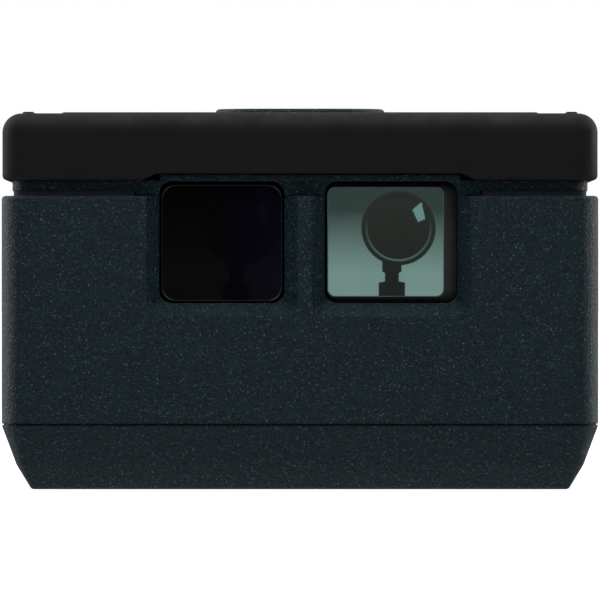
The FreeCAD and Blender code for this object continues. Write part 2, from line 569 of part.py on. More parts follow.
def add_grip(body):
    """Tail ribs, side grooves, and the beads on the bumper's front corners."""
    ribs = level_sketch(body, "grip_ribs", "Dim.bumper_top - Dim.small_round")
    for number in range(GRIP_RIBS):
        middle = f"(Dim.rib_first + {number}*Dim.rib_step)"
        rounded_rectangle(ribs, "-Dim.rib_half_long", "Dim.rib_half_long", f"{middle} - Dim.rib_half",
                          f"{middle} + Dim.rib_half", "Dim.rib_half - Dim.small_round/2")
    pad(body, ribs, "Dim.rib_height + Dim.small_round")
    fillet_level(body, "Dim.bumper_top + Dim.rib_height", "Dim.rib_edge")
    beads = level_sketch(body, "corner_beads", "Dim.bumper_top - Dim.small_round")
    for side in (-1, 1):
        middle = f"{side}*Dim.bead_x"
        rounded_rectangle(beads, f"{middle} - Dim.bead_half", f"{middle} + Dim.bead_half", "Dim.bead_front",
                          "Dim.bead_back", "Dim.bead_half - Dim.small_round/2")
    pad(body, beads, "Dim.bead_tall + Dim.small_round")
    fillet_level(body, "Dim.bumper_top + Dim.bead_tall", "Dim.bead_edge")
    grooves = level_sketch(body, "grip_grooves", "Dim.grip_top")
    for side in (-1, 1):
        edge = f"{side}*Dim.grip_x"
        for number in range(GRIP_GROOVES):
            middle = f"(Dim.grip_first + {number}*Dim.grip_step)"
            rounded_rectangle(grooves, f"{edge} - Dim.grip_half", f"{edge} + Dim.grip_half",
                              f"{middle} - Dim.grip_half", f"{middle} + Dim.grip_half",
                              "Dim.grip_half - Dim.small_round")
    pocket(body, grooves, "Dim.grip_tall")


def case_seal():
    """Flat gasket between the two halves, seen at the bottom of the parting groove."""
    seal = doc.addObject("PartDesign::Body", "case_seal_body")
    outline = level_sketch(seal, "seal_outline", "Dim.shell_height")
    case_outline(outline, "Dim.seal_inset")
    pad(seal, outline, "Dim.seal_thick")
    inner = level_sketch(seal, "seal_inside", "Dim.shell_height + 1")
    case_outline(inner, "Dim.seal_back")
    pocket(seal, inner, "Dim.seal_thick + 2")
    gap = level_sketch(seal, "seal_gap", "Dim.shell_height + 1")
    rounded_rectangle(gap, "Dim.chassis_left - Dim.small_round", "Dim.chassis_right + Dim.small_round",
                      "-Dim.case_length/2 - 1", "Dim.seal_back + 1 - Dim.case_length/2", "Dim.tab_play")
    pocket(seal, gap, "Dim.seal_thick + 2")
    return node(seal, "case_seal")


# ---- screws -----------------------------------------------------------------------------


def screw(name, centre, seat, head, shank, upward):
    """Cross-slotted screw; upward screws have their head below their shank."""
    head_radius, head_tall = head
    shank_radius, shank_long = shank
    head_span = (seat, f"{seat} + {head_tall}")
    if upward:
        shank_span = (f"{seat} + {head_tall}", f"{seat} + {head_tall} + {shank_long}")
        slot_span = (f"{seat} - Dim.small_round", f"{seat} + {head_tall}/2")
    else:
        shank_span = (f"{seat} - {shank_long}", seat)
        slot_span = (f"{seat} + {head_tall}/2", f"{seat} + {head_tall} + Dim.small_round")
    shank_rod = rod(f"{name}_shank", "z", centre, shank_span, shank_radius)
    head_rod = rod(f"{name}_head", "z", centre, head_span, head_radius)
    slots = []
    for number, (wide, long) in enumerate((("Dim.slot_half", "Dim.slot_reach"),
                                           ("Dim.slot_reach", "Dim.slot_half"))):
        slots.append(slab(f"{name}_slot{number}", (f"{centre[0]} - {wide}", f"{centre[0]} + {wide}"),
                          (f"{centre[1]} - {long}", f"{centre[1]} + {long}"), slot_span))
    return cut(name, join(f"{name}_blank", shank_rod, head_rod), *slots)


def screws():
    """Case, chassis and board screws, each kind one node."""
    case = [screw(f"case_screw{number}", centre, "Dim.screw_seat - Dim.head_tall",
                  ("Dim.head_round", "Dim.head_tall"),
                  ("Dim.thread_round", "Dim.screw_top - Dim.screw_seat"), True)
            for number, centre in enumerate(boss_centres())]
    node(join("case_screw_set", *case), "case_screws")
    chassis = [screw(f"chassis_screw{number}", (f"{side}*Dim.ear_post_x", "Dim.ear_post_y"),
                     "Dim.chassis_low + Dim.ear_thick", ("Dim.chassis_head", "Dim.chassis_head_tall"),
                     ("Dim.chassis_shank", "Dim.chassis_shank_long"), False)
               for number, side in enumerate((-1, 1))]
    node(join("chassis_screw_set", *chassis), "chassis_screws")
    board = [screw(f"board_screw{number}", centre, "Dim.main_board_low - Dim.board_head_tall",
                   ("Dim.board_head", "Dim.board_head_tall"),
                   ("Dim.board_shank", "Dim.board_shank_long"), True)
             for number, centre in enumerate(board_posts())]
    node(join("board_screw_set", *board), "board_screws")


def board_posts():
    """Plan positions of the two screws that hold the main board to the optics chassis."""
    return [("-8.3", "-41"), ("9.2", "-25.5")]


# ---- optics -----------------------------------------------------------------------------


def window_blank(name, left, right, front, back):
    """Rounded rectangular block of a window between two Y positions."""
    body = doc.addObject("PartDesign::Body", name)
    sketch = front_sketch(body, f"{name}_outline", back)
    rounded_rectangle(sketch, left, right, "Dim.window_low", "Dim.window_high - Dim.bumper_gap",
                      "Dim.window_round")
    pad(body, sketch, f"({back}) - ({front})")
    return body


def windows():
    """Dark emitter window and square-cut receiver lens, both slightly domed with polished edges."""
    front = "Dim.window_set - Dim.case_length/2"
    back = f"{front} + Dim.window_thick"
    labels = ("emitter_window", "receiver_lens")
    for label, (name, left, right) in zip(labels, window_openings()):
        blank = window_blank(f"{name}_blank", left, right, front, back)
        if label == "receiver_lens":
            bevel_lens(blank, right, front)
        ball = doc.addObject("Part::Sphere", f"{name}_ball")
        ball.setExpression("Radius", "Dim.window_curve")
        ball.setExpression(".Placement.Base.x", f"({left} + {right})/2")
        ball.setExpression(".Placement.Base.y", f"{front} + Dim.window_curve")
        ball.setExpression(".Placement.Base.z", "(Dim.window_low + Dim.window_high)/2")
        domed = doc.addObject("Part::Common", f"{name}_domed")
        domed.Base = blank
        domed.Tool = ball
        doc.recompute()
        polished = doc.addObject("Part::Fillet", f"{name}_polished")
        polished.Base = domed
        edge = value("Dim.window_edge")
        polished.Edges = [(number, edge, edge) for number in dome_edges(domed.Shape, back)]
        node(polished, label)


def bevel_lens(blank, right, front):
    """Sloping side of the receiver lens, cut along its right edge."""
    slope = level_sketch(blank, "lens_slope", "Dim.window_high + 1")
    rise = "Dim.lens_bevel_deep/Dim.lens_bevel"
    start = f"{right} - Dim.lens_bevel"
    polygon(slope, [(start, front), (start, f"{front} - 1"), (f"{right} + 1", f"{front} - 1"),
                    (f"{right} + 1", f"{front} + Dim.lens_bevel_deep + {rise}")])
    pocket(blank, slope, "Dim.window_high - Dim.window_low + 2")


def dome_edges(shape, back):
    """Numbers of the edges round a dome: those well in front of the back face."""
    reach = value(f"{back} - Dim.window_thick/4")
    return [number for number, edge in enumerate(shape.Edges, start=1) if edge.BoundBox.YMax < reach]


def window_seals():
    """Foam frame round the back of each window, inside the chassis."""
    frames = []
    for name, left, right in window_openings():
        body = doc.addObject("PartDesign::Body", f"{name}_seal")
        outer = front_sketch(body, f"{name}_seal_outline", "Dim.chassis_front + Dim.seal_deep + Dim.pad_gap")
        rounded_rectangle(outer, f"{left} - Dim.seal_rim", f"{right} + Dim.seal_rim",
                          "Dim.window_low - Dim.seal_rim", "Dim.chassis_high - Dim.leaf_gap",
                          "Dim.seat_round")
        pad(body, outer, "Dim.seal_deep")
        inner = front_sketch(body, f"{name}_seal_inside", "Dim.chassis_front - 1")
        rounded_rectangle(inner, f"{left} - Dim.bore_gap", f"{right} + Dim.bore_gap",
                          "Dim.window_low - Dim.bore_gap", "Dim.window_high + 2", "Dim.window_round")
        pocket(body, inner, "Dim.through")
        frames.append(body)
    node(join("window_seal_set", *frames), "window_seals")


def optics_chassis():
    """Rigid black block that holds both optical paths in line."""
    body = doc.addObject("PartDesign::Body", "optics_chassis_body")
    outline = front_sketch(body, "chassis_outline", "Dim.chassis_back")
    rounded_rectangle(outline, "Dim.chassis_left", "Dim.chassis_right", "Dim.chassis_low", "Dim.chassis_high",
                      "Dim.least_round")
    pad(body, outline, "Dim.chassis_back - Dim.chassis_front")
    ears = level_sketch(body, "chassis_ears", "Dim.chassis_low")
    rounded_rectangle(ears, "-Dim.ear_post_x - Dim.ear_half", "Dim.ear_post_x + Dim.ear_half",
                      "Dim.ear_post_y - Dim.ear_half", "Dim.ear_post_y + Dim.ear_half", "Dim.ear_round")
    pad(body, ears, "Dim.ear_thick")
    posts = level_sketch(body, "board_posts", "Dim.main_board_high")
    for across, along_case in board_posts():
        circle(posts, across, along_case, "Dim.board_post")
    pad(body, posts, "Dim.chassis_low - Dim.main_board_high")
    holes = level_sketch(body, "ear_holes", "Dim.chassis_low + Dim.ear_thick")
    for side in (-1, 1):
        circle(holes, f"{side}*Dim.ear_post_x", "Dim.ear_post_y", "Dim.thread_round")
    pocket(body, holes, "Dim.ear_thick + Dim.small_round")
    pilots = level_sketch(body, "board_pilots", "Dim.main_board_high")
    for across, along_case in board_posts():
        circle(pilots, across, along_case, "Dim.board_pilot")
    pocket(body, pilots, "Dim.board_pilot_deep", forward=True)
    for name, left, right in window_openings():
        seat = front_sketch(body, f"{name}_seat", "Dim.chassis_front")
        rim = "(Dim.seal_rim + Dim.bore_gap)"
        rounded_rectangle(seat, f"{left} - {rim}", f"{right} + {rim}", f"Dim.window_low - {rim}",
                          "Dim.window_high + 2", "Dim.seat_round")
        pocket(body, seat, "Dim.seat_deep")
    whole = "Dim.chassis_back - Dim.chassis_front + Dim.small_round"
    bores = (("barrel_bore", "Dim.emitter_axis", "Dim.barrel_round + Dim.bore_gap", whole),
             ("tube_bore", "Dim.receiver_axis", "Dim.tube_round + Dim.bore_gap", "Dim.tube_room"),
             ("receiver_throat", "Dim.receiver_axis", "Dim.throat_round", whole))
    for name, axis, radius, depth in bores:
        bore = front_sketch(body, name, "Dim.chassis_front")
        circle(bore, axis, "Dim.optic_height", radius)
        pocket(body, bore, depth)
    return node(body, "optics_chassis")


def emitter_path():
    """Collimator barrel, its lens and the laser diode in the barrel's back."""
    centre = ("Dim.emitter_axis", "Dim.optic_height")
    before = "Dim.barrel_front - Dim.small_round"
    sleeve = rod("barrel_sleeve", "y", centre, ("Dim.barrel_front", "Dim.barrel_back"), "Dim.barrel_round")
    bore = rod("barrel_bore_tool", "y", centre, (before, "Dim.barrel_back + Dim.small_round"),
               "Dim.barrel_bore")
    seat = rod("barrel_lens_seat", "y", centre, (before, "Dim.collimator_back"),
               "Dim.collimator_round + Dim.bore_gap")
    node(cut("barrel", sleeve, bore, seat), "collimator_barrel")
    disc = rod("collimator_disc", "y", centre, ("Dim.collimator_front", "Dim.collimator_back"),
               "Dim.collimator_round")
    ball = doc.addObject("Part::Sphere", "collimator_ball")
    ball.setExpression("Radius", "Dim.collimator_curve")
    ball_centre = ("Dim.emitter_axis", "Dim.collimator_front - Dim.small_round + Dim.collimator_curve",
                   "Dim.optic_height")
    for axis, expression in zip("xyz", ball_centre):
        ball.setExpression(f".Placement.Base.{axis}", expression)
    dome = doc.addObject("Part::Common", "collimator_dome")
    dome.Base = disc
    dome.Tool = ball
    node(dome, "collimator_lens")
    flange = rod("diode_flange", "y", centre, ("Dim.barrel_back", "Dim.diode_back"), "Dim.diode_flange")
    can = rod("diode_can", "y", centre, ("Dim.diode_front", "Dim.barrel_back"), "Dim.diode_can")
    leads = []
    for number in range(DIODE_LEADS):
        turn = f"(90 + {number}*360/{DIODE_LEADS})"
        spot = (f"Dim.emitter_axis + Dim.lead_ring*cos({turn})",
                f"Dim.optic_height + Dim.lead_ring*sin({turn})")
        span = ("Dim.diode_back", "Dim.lead_end")
        leads.append(rod(f"diode_lead{number}", "y", spot, span, "Dim.lead_round"))
    node(join("diode", flange, can, *leads), "laser_diode")


def receiver_path():
    """Stepped light tube, filter, photodiode, its board and the tin shield."""
    centre = ("Dim.receiver_axis", "Dim.optic_height")
    sleeve = rod("tube_sleeve", "y", centre, ("Dim.tube_front", "Dim.tube_back"), "Dim.tube_round")
    stops = (("-44.8", "2.95"), ("-41.4", "2.6"), ("-38", "2.25"),
             ("Dim.tube_back + Dim.small_round", "Dim.throat_round"))
    steps = [rod(f"tube_step{number}", "y", centre, ("Dim.tube_front - Dim.small_round", end), radius)
             for number, (end, radius) in enumerate(stops)]
    node(cut("tube", sleeve, *steps), "receiver_tube")
    node(rod("filter_disc", "y", centre, ("Dim.tube_back + Dim.small_round", "Dim.filter_back"),
             "Dim.filter_round"), "bandpass_filter")
    base = rod("photodiode_base", "y", centre, ("Dim.photodiode_middle", "Dim.photodiode_back"),
               "Dim.photodiode_round")
    eye = rod("photodiode_eye", "y", centre, ("Dim.photodiode_front", "Dim.photodiode_middle"),
              "Dim.photodiode_eye")
    node(join("photodiode_body", base, eye), "photodiode")
    node(slab("receiver_card", ("Dim.card_left", "Dim.card_right"), ("Dim.photodiode_back", "Dim.card_back"),
              ("Dim.card_low", "Dim.card_high")), "receiver_board")
    shield = slab("shield_outside", ("Dim.shield_left", "Dim.shield_right"),
                  ("Dim.card_back", "Dim.shield_back"), ("Dim.shield_low", "Dim.shield_high"))
    skin = "Dim.shield_wall"
    shield_room = slab("shield_inside", (f"Dim.shield_left + {skin}", f"Dim.shield_right - {skin}"),
                       ("Dim.card_back - Dim.small_round", f"Dim.shield_back - {skin}"),
                       (f"Dim.shield_low + {skin}", f"Dim.shield_high - {skin}"))
    node(cut("shield", shield, shield_room), "shield_can")
    film = "(Dim.flex_high - Dim.flex_low)"
    across = ("Dim.flex_left", "Dim.flex_right")
    run = slab("flex_run", across, ("Dim.lead_end + Dim.well_gap", "Dim.flex_back"),
               ("Dim.flex_low", "Dim.flex_high"))
    drop = slab("flex_drop", across, (f"Dim.flex_back - {film}", "Dim.flex_back"),
                ("Dim.main_board_high", "Dim.flex_high"))
    node(join("flex", run, drop), "laser_flex")


# ---- boards and display -----------------------------------------------------------------


def display_stack():
    """Display glass, LCD, its frame, light plate and contact strip on the display board."""
    glass_top = "Dim.deck_top - Dim.glass_set"
    glass = rounded_slab("glass_blank", ("-Dim.glass_half", "Dim.glass_half"),
                         ("Dim.glass_front", "Dim.glass_back"), (f"{glass_top} - Dim.glass_thick", glass_top),
                         "Dim.glass_round")
    node(glass, "display_window")
    top = "Dim.display_board_high"
    rim = "Dim.frame_wall"
    outside = slab("frame_outside", ("-Dim.frame_half", "Dim.frame_half"),
                   ("Dim.frame_front", "Dim.frame_back"), (top, f"{top} + Dim.frame_tall"))
    inside = slab("frame_inside", (f"{rim} - Dim.frame_half", f"Dim.frame_half - {rim}"),
                  (f"Dim.frame_front + {rim}", f"Dim.frame_back - {rim}"),
                  (f"{top} - Dim.small_round", f"{top} + Dim.frame_tall + Dim.small_round"))
    node(cut("frame", outside, inside), "lcd_frame")
    across = ("-Dim.lcd_half", "Dim.lcd_half")
    node(slab("lcd", across, ("Dim.lcd_front", "Dim.lcd_back"),
              (f"{top} + Dim.lcd_low", f"{top} + Dim.lcd_high")), "lcd_panel")
    node(slab("light_plate", across, ("Dim.lcd_front", "Dim.light_back"),
              (f"{top} + Dim.light_low", f"{top} + Dim.light_high")), "backlight_plate")
    node(slab("contact_strip", ("-Dim.strip_half", "Dim.strip_half"), ("Dim.strip_front", "Dim.strip_back"),
              (top, f"{top} + Dim.lcd_low")), "zebra_strip")
    board = slab("display_card", ("-Dim.board_half", "Dim.board_half"),
                 ("Dim.display_board_front", "Dim.display_board_back"),
                 ("Dim.display_board_low", "Dim.display_board_high"))
    node(board, "display_board")


def key_centres():
    """Name, plan centre and dome radius of each key."""
    return [("measure", "0", "Dim.button_middle", "Dim.button_dome"),
            ("mode", "-Dim.key_x", "Dim.key_y", "Dim.key_dome"),
            ("clear", "Dim.key_x", "Dim.key_y", "Dim.key_dome")]


def keypad():
    """Rubber mat over three snap domes, and the three keys that press them."""
    top = "Dim.display_board_high"
    domes = [taper(f"{name}_dome", "z", (across, along_case), (top, f"{top} + Dim.dome_tall"),
                   (radius, f"{radius}*0.7"))
             for name, across, along_case, radius in key_centres()]
    node(join("dome_set", *domes), "metal_domes")
    mat = rounded_slab("mat_blank", ("-Dim.mat_half", "Dim.mat_half"), ("Dim.mat_front", "Dim.mat_back"),
                       (f"{top} + Dim.mat_low", f"{top} + Dim.mat_high"), "Dim.mat_round")
    node(mat, "keypad_mat")
    button = key("button_blank", ("-Dim.button_half", "Dim.button_half"),
                 ("Dim.button_middle - Dim.button_reach", "Dim.button_middle + Dim.button_reach"),
                 "Dim.button_round", "Dim.button_top", "Dim.button_edge")
    node(button, "measure_button")
    for side, label in ((-1, "mode_key"), (1, "clear_key")):
        middle = f"{side}*Dim.key_x"
        cap = key(f"{label}_blank", (f"{middle} - Dim.key_half_wide", f"{middle} + Dim.key_half_wide"),
                  ("Dim.key_y - Dim.key_half_long", "Dim.key_y + Dim.key_half_long"),
                  "Dim.key_round", "Dim.key_top", "Dim.key_edge")
        node(cap, label)


def key(name, x, y, radius, top, edge):
    """Key cap with a retaining flange under the deck."""
    body = doc.addObject("PartDesign::Body", name)
    flange = level_sketch(body, f"{name}_flange", "Dim.key_under")
    rim = "Dim.key_rim"
    rounded_rectangle(flange, f"{x[0]} - {rim}", f"{x[1]} + {rim}", f"{y[0]} - {rim}", f"{y[1]} + {rim}",
                      radius)
    pad(body, flange, "Dim.key_flange")
    cap = level_sketch(body, f"{name}_cap", "Dim.key_under + Dim.key_flange")
    rounded_rectangle(cap, x[0], x[1], y[0], y[1], radius)
    pad(body, cap, f"{top} - Dim.key_under - Dim.key_flange")
    fillet_level(body, top, edge)
    return body


def capacitor_row(kind, low):
    """Row of chip capacitors of one kind, hanging under the main board."""
    chips = []
    for number in range(CAPACITORS):
        left = f"(Dim.{kind}_left + {number}*Dim.{kind}_step)"
        chips.append(slab(f"{kind}{number}", (left, f"{left} + Dim.{kind}_wide"),
                          (f"Dim.{kind}_front", f"Dim.{kind}_back"), (f"{low} - Dim.{kind}_tall", low)))
    return chips


def square_chip(kind, base):
    """Square chip package standing on the main board."""
    return slab(f"{kind}_package", (f"Dim.{kind}_left", f"Dim.{kind}_left + Dim.{kind}_side"),
                (f"Dim.{kind}_front", f"Dim.{kind}_front + Dim.{kind}_side"),
                (base, f"{base} + Dim.{kind}_tall"))


def rounded_can(kind, base):
    """Component with rounded upright edges standing on the main board."""
    return rounded_slab(f"{kind}_package", (f"Dim.{kind}_left", f"Dim.{kind}_right"),
                        (f"Dim.{kind}_front", f"Dim.{kind}_back"), (base, f"{base} + Dim.{kind}_tall"),
                        f"Dim.{kind}_round")


def main_electronics():
    """Main board with its chips, crystal, coil, sounder, capacitors and the link to the display board."""
    low, high = "Dim.main_board_low", "Dim.main_board_high"
    board = slab("main_card", ("-Dim.board_half", "Dim.board_half"),
                 ("Dim.main_board_front", "Dim.main_board_back"), (low, high))
    hole_span = (f"{low} - Dim.small_round", f"{high} + Dim.small_round")
    holes = [rod(f"card_hole{number}", "z", centre, hole_span, "Dim.board_hole")
             for number, centre in enumerate(board_posts())]
    node(cut("card", board, *holes), "main_board")
    node(square_chip("control", high), "control_chip")
    node(square_chip("timing", high), "timing_chip")
    node(rounded_can("crystal", high), "crystal_can")
    node(rounded_can("coil", high), "power_coil")
    node(rod("sounder_drum", "z", ("0", "Dim.sounder_y"), (f"{low} - Dim.sounder_tall", low),
             "Dim.sounder_round"), "sounder")
    chips = capacitor_row("small_cap", low) + capacitor_row("big_cap", low)
    node(join("capacitor_set", *chips), "chip_capacitors")
    across, along_case = ("Dim.link_left", "Dim.link_right"), ("Dim.link_front", "Dim.link_back")
    under = "Dim.display_board_low"
    bar = slab("link_lower", across, along_case, (high, f"{high} + Dim.link_bar"))
    socket = slab("link_upper", across, along_case, (f"{under} - Dim.link_socket", under))
    pins = []
    for number in range(LINK_PINS):
        middle = f"(Dim.pin_first + {number}*Dim.pin_step)"
        pins.append(slab(f"link_pin{number}", ("Dim.pin_x - Dim.pin_half", "Dim.pin_x + Dim.pin_half"),
                         (f"{middle} - Dim.pin_half", f"{middle} + Dim.pin_half"),
                         (f"{high} + Dim.link_bar - 1", f"{under} - Dim.link_socket + 1")))
    node(join("link", bar, socket, *pins), "board_link")


# ---- battery bay ------------------------------------------------------------------------


def cell_centre(side):
    """Cross-section centre of the left (-1) or right (1) cell."""
    return (f"{side}*Dim.cell_x", "Dim.cell_z")


def cell(side, label):
    """AAA cell; the left cell points to the tail and the right one to the lens end."""
    centre = cell_centre(side)
    near, far = "Dim.cell_front", "Dim.cell_front + Dim.cell_long"
    if side < 0:
        can_span = (near, f"{far} - Dim.nub_long")
        nub_span = (f"{far} - Dim.nub_long", far)
    else:
        can_span = (f"{near} + Dim.nub_long", far)
        nub_span = (near, f"{near} + Dim.nub_long")
    can = rod(f"{label}_can", "y", centre, can_span, "Dim.cell_round")
    nub = rod(f"{label}_nub", "y", centre, nub_span, "Dim.nub_round")
    node(join(f"{label}_whole", can, nub), label)


def coil_spring(name, side, foot, head):
    """Conical contact spring between a wall and the flat end of a cell."""
    tall = f"abs(({head}) - ({foot}))"
    helix = doc.addObject("Part::Helix", f"{name}_path")
    helix.setExpression("Height", tall)
    helix.setExpression("Pitch", f"{tall}/Dim.coil_turns")
    helix.setExpression("Radius", "Dim.coil_base")
    helix.setExpression("Angle", "-Dim.coil_lean")
    wire = doc.addObject("Part::Circle", f"{name}_wire")
    wire.setExpression("Radius", "Dim.wire_round")
    wire.Placement = FreeCAD.Placement(FreeCAD.Vector(), FreeCAD.Rotation(FreeCAD.Vector(1, 0, 0), 90))
    wire.setExpression(".Placement.Base.x", "Dim.coil_base")
    doc.recompute()
    coil = doc.addObject("Part::Sweep", f"{name}_coil")
    coil.Sections = [wire]
    coil.Spine = (helix, [f"Edge{number}" for number in range(1, len(helix.Shape.Edges) + 1)])
    coil.Solid = True
    coil.Frenet = True
    turn = 90 if value(head) < value(foot) else -90
    coil.Placement = FreeCAD.Placement(FreeCAD.Vector(), FreeCAD.Rotation(FreeCAD.Vector(1, 0, 0), turn))
    coil.setExpression(".Placement.Base.x", f"{side}*Dim.cell_x")
    coil.setExpression(".Placement.Base.y", foot)
    coil.setExpression(".Placement.Base.z", "Dim.cell_z")
    return coil


def leaf(name, x, y, half):
    """Upright sheet-metal contact, centred on the cells' height."""
    return slab(name, x, y, (f"Dim.cell_z - {half}", f"Dim.cell_z + {half}"))


def battery_bay():
    """Black tray over the cells, the cells, and their spring and plate contacts."""
    skin = "Dim.tray_wall"
    front, back = f"Dim.tray_front + {skin}", f"Dim.tray_back - {skin}"
    outside = slab("tray_outside", ("-Dim.tray_half", "Dim.tray_half"), ("Dim.tray_front", "Dim.tray_back"),
                   ("Dim.tray_low", "Dim.tray_high"))
    inside = slab("tray_inside", (f"{skin} - Dim.tray_half", f"Dim.tray_half - {skin}"), (front, back),
                  ("Dim.tray_low - Dim.small_round", "Dim.tray_high - Dim.tray_roof"))
    node(cut("tray", outside, inside), "battery_tray")
    cell(-1, "cell_left")
    cell(1, "cell_right")
    cell_end = "Dim.cell_front + Dim.cell_long"
    nub_leaf_back = "Dim.cell_front - Dim.leaf_gap"
    plates = [
        leaf("spring_leaf_front", ("-Dim.cell_x - Dim.leaf_half", "-Dim.cell_x + Dim.leaf_half"),
             (front, f"{front} + Dim.leaf_thick"), "Dim.leaf_half"),
        leaf("nub_leaf_front", ("Dim.cell_x - Dim.nub_leaf_half", "Dim.cell_x + Dim.nub_leaf_half"),
             (f"{nub_leaf_back} - Dim.leaf_thick", nub_leaf_back), "Dim.nub_leaf_half"),
        leaf("bridge_leaf", ("-Dim.cell_x - Dim.leaf_half", "Dim.cell_x + Dim.leaf_half"),
             (f"{back} - Dim.leaf_thick", back), "Dim.leaf_half"),
    ]
    node(join("plate_set", *plates), "contact_plates")
    springs = [
        coil_spring("front_spring", -1, f"{front} + Dim.coil_lift", "Dim.cell_front - Dim.coil_stop"),
        coil_spring("tail_spring", 1, f"{back} - Dim.coil_lift", f"{cell_end} + Dim.coil_stop"),
    ]
    node(join("spring_set", *springs), "cell_springs")


def battery_cover():
    """Flush cover that rocks out on two tabs, its foam pad and its thumb latch."""
    face, top = "Dim.door_face", "Dim.door_face + Dim.door_thick"
    gap = "Dim.door_gap"
    back = f"Dim.door_back - {gap}"
    panel = rounded_slab("cover_panel", (f"{gap} - Dim.door_half", f"Dim.door_half - {gap}"),
                         (f"Dim.door_front + {gap}", back), (face, top), "Dim.door_round")
    tabs = [slab(f"cover_tab{number}",
                 (f"{side}*Dim.tab_x - Dim.tab_half", f"{side}*Dim.tab_x + Dim.tab_half"),
                 ("Dim.door_front - Dim.tab_reach", "Dim.door_front + 1"), ("Dim.tab_low", top))
            for number, side in enumerate((-1, 1))]
    notch = slab("latch_notch", (f"-Dim.latch_half - {gap}", f"Dim.latch_half + {gap}"),
                 (f"{back} - Dim.latch_long - Dim.latch_travel - Dim.latch_play", "Dim.door_back + 1"),
                 (f"{face} - 1", f"{top} + 1"))
    grooves = []
    for number in range(THUMB_GROOVES):
        start = f"(Dim.thumb_first + {number}*Dim.thumb_step)"
        grooves.append(slab(f"thumb_groove{number}", ("-Dim.thumb_half", "Dim.thumb_half"),
                            (start, f"{start} + Dim.thumb_wide"),
                            (f"{face} - Dim.small_round", f"{face} + Dim.thumb_deep")))
    node(cut("cover", join("cover_blank", panel, *tabs), notch, *grooves), "battery_cover")
    cushion = rounded_slab("pad_blank", ("-Dim.pad_half", "Dim.pad_half"), ("Dim.pad_front", "Dim.pad_back"),
                           (top, "Dim.cell_z - Dim.cell_round - Dim.pad_gap"), "Dim.pad_round")
    node(cushion, "cover_pad")
    finger = slab("latch_finger", ("-Dim.latch_half", "Dim.latch_half"), (f"{back} - Dim.latch_long", back),
                  (face, top))
    nib = slab("latch_nib", ("Dim.nib_inset - Dim.latch_half", "Dim.latch_half - Dim.nib_inset"),
               (f"{back} - Dim.nib_reach", "Dim.door_back + Dim.nib_reach"), ("Dim.tab_low", top))
    scoop = slab("latch_scoop", ("-Dim.scoop_half", "Dim.scoop_half"),
                 (f"{back} - Dim.scoop_front", f"{back} - Dim.scoop_back"),
                 (f"{face} - Dim.small_round", f"{face} + Dim.scoop_deep"))
    node(cut("latch", join("latch_blank", finger, nib), scoop), "cover_latch")


def back_label():
    """Blank label set into the back face."""
    gap = "Dim.label_gap"
    label = rounded_slab("label_blank", (f"{gap} - Dim.label_half", f"Dim.label_half - {gap}"),
                         (f"Dim.label_front + {gap}", f"Dim.label_back - {gap}"),
                         ("Dim.bumper_gap", "Dim.label_deep - Dim.leaf_gap/2"), f"Dim.label_round - {gap}")
    node(label, "back_label")


# ---- build and export -------------------------------------------------------------------


def check_and_export():
    """Stop on a bad feature or shape, then write one STEP file per node."""
    doc.recompute()
    for thing in doc.Objects:
        if "Invalid" in thing.State or "Error" in thing.State:
            raise RuntimeError(f"{thing.Name} is {thing.State}")
    os.makedirs("parts", exist_ok=True)
    for thing in NODES:
        shape = thing.Shape
        if shape.isNull() or not shape.isValid() or not shape.Solids:
            raise RuntimeError(f"{thing.Label} has no valid solid")
        shape.exportStep(f"parts/{thing.Label}.step")


def build():
    """Every sub-part in turn, from the case inwards."""
    fill_sheet()
    lower_shell()
    upper_shell()
    soft_bumper()
    case_seal()
    windows()
    window_seals()
    optics_chassis()
    emitter_path()
    receiver_path()
    display_stack()
    keypad()
    main_electronics()
    battery_bay()
    battery_cover()
    back_label()
    screws()
    check_and_export()


build()
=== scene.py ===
import json
import math

import bpy
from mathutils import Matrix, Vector

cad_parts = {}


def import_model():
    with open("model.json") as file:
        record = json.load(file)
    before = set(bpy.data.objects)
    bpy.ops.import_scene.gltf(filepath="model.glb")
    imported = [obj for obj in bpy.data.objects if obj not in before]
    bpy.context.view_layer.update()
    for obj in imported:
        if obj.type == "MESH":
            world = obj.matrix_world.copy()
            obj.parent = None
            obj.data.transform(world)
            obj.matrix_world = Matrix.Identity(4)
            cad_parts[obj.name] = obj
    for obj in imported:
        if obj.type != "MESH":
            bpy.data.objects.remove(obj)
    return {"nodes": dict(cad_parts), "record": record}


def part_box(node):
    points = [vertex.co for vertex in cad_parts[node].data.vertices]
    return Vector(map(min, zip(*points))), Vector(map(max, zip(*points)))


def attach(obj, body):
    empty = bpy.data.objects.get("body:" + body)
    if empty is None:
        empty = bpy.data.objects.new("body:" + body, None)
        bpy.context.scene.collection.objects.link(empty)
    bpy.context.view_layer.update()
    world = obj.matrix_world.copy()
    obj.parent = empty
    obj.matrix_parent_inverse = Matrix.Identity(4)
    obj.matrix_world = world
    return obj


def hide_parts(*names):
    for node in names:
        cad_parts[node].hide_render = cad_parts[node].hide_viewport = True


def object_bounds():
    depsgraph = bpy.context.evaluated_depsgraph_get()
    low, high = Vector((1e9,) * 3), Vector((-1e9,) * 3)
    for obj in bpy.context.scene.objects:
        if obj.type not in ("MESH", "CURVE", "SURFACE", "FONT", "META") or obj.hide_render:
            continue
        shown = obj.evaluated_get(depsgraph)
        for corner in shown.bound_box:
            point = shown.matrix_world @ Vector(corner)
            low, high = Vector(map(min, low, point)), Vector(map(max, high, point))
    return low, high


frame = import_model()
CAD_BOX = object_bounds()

MM = 0.001
WELD_REACH = 0.001 * MM

# Shading: faces meeting at more than CRISP_ANGLE degrees keep a crisp edge, and a face within
# FLAT_ANGLE degrees of a main direction is shaded exactly flat.
CRISP_ANGLE = 24.0
FLAT_ANGLE = 1.2

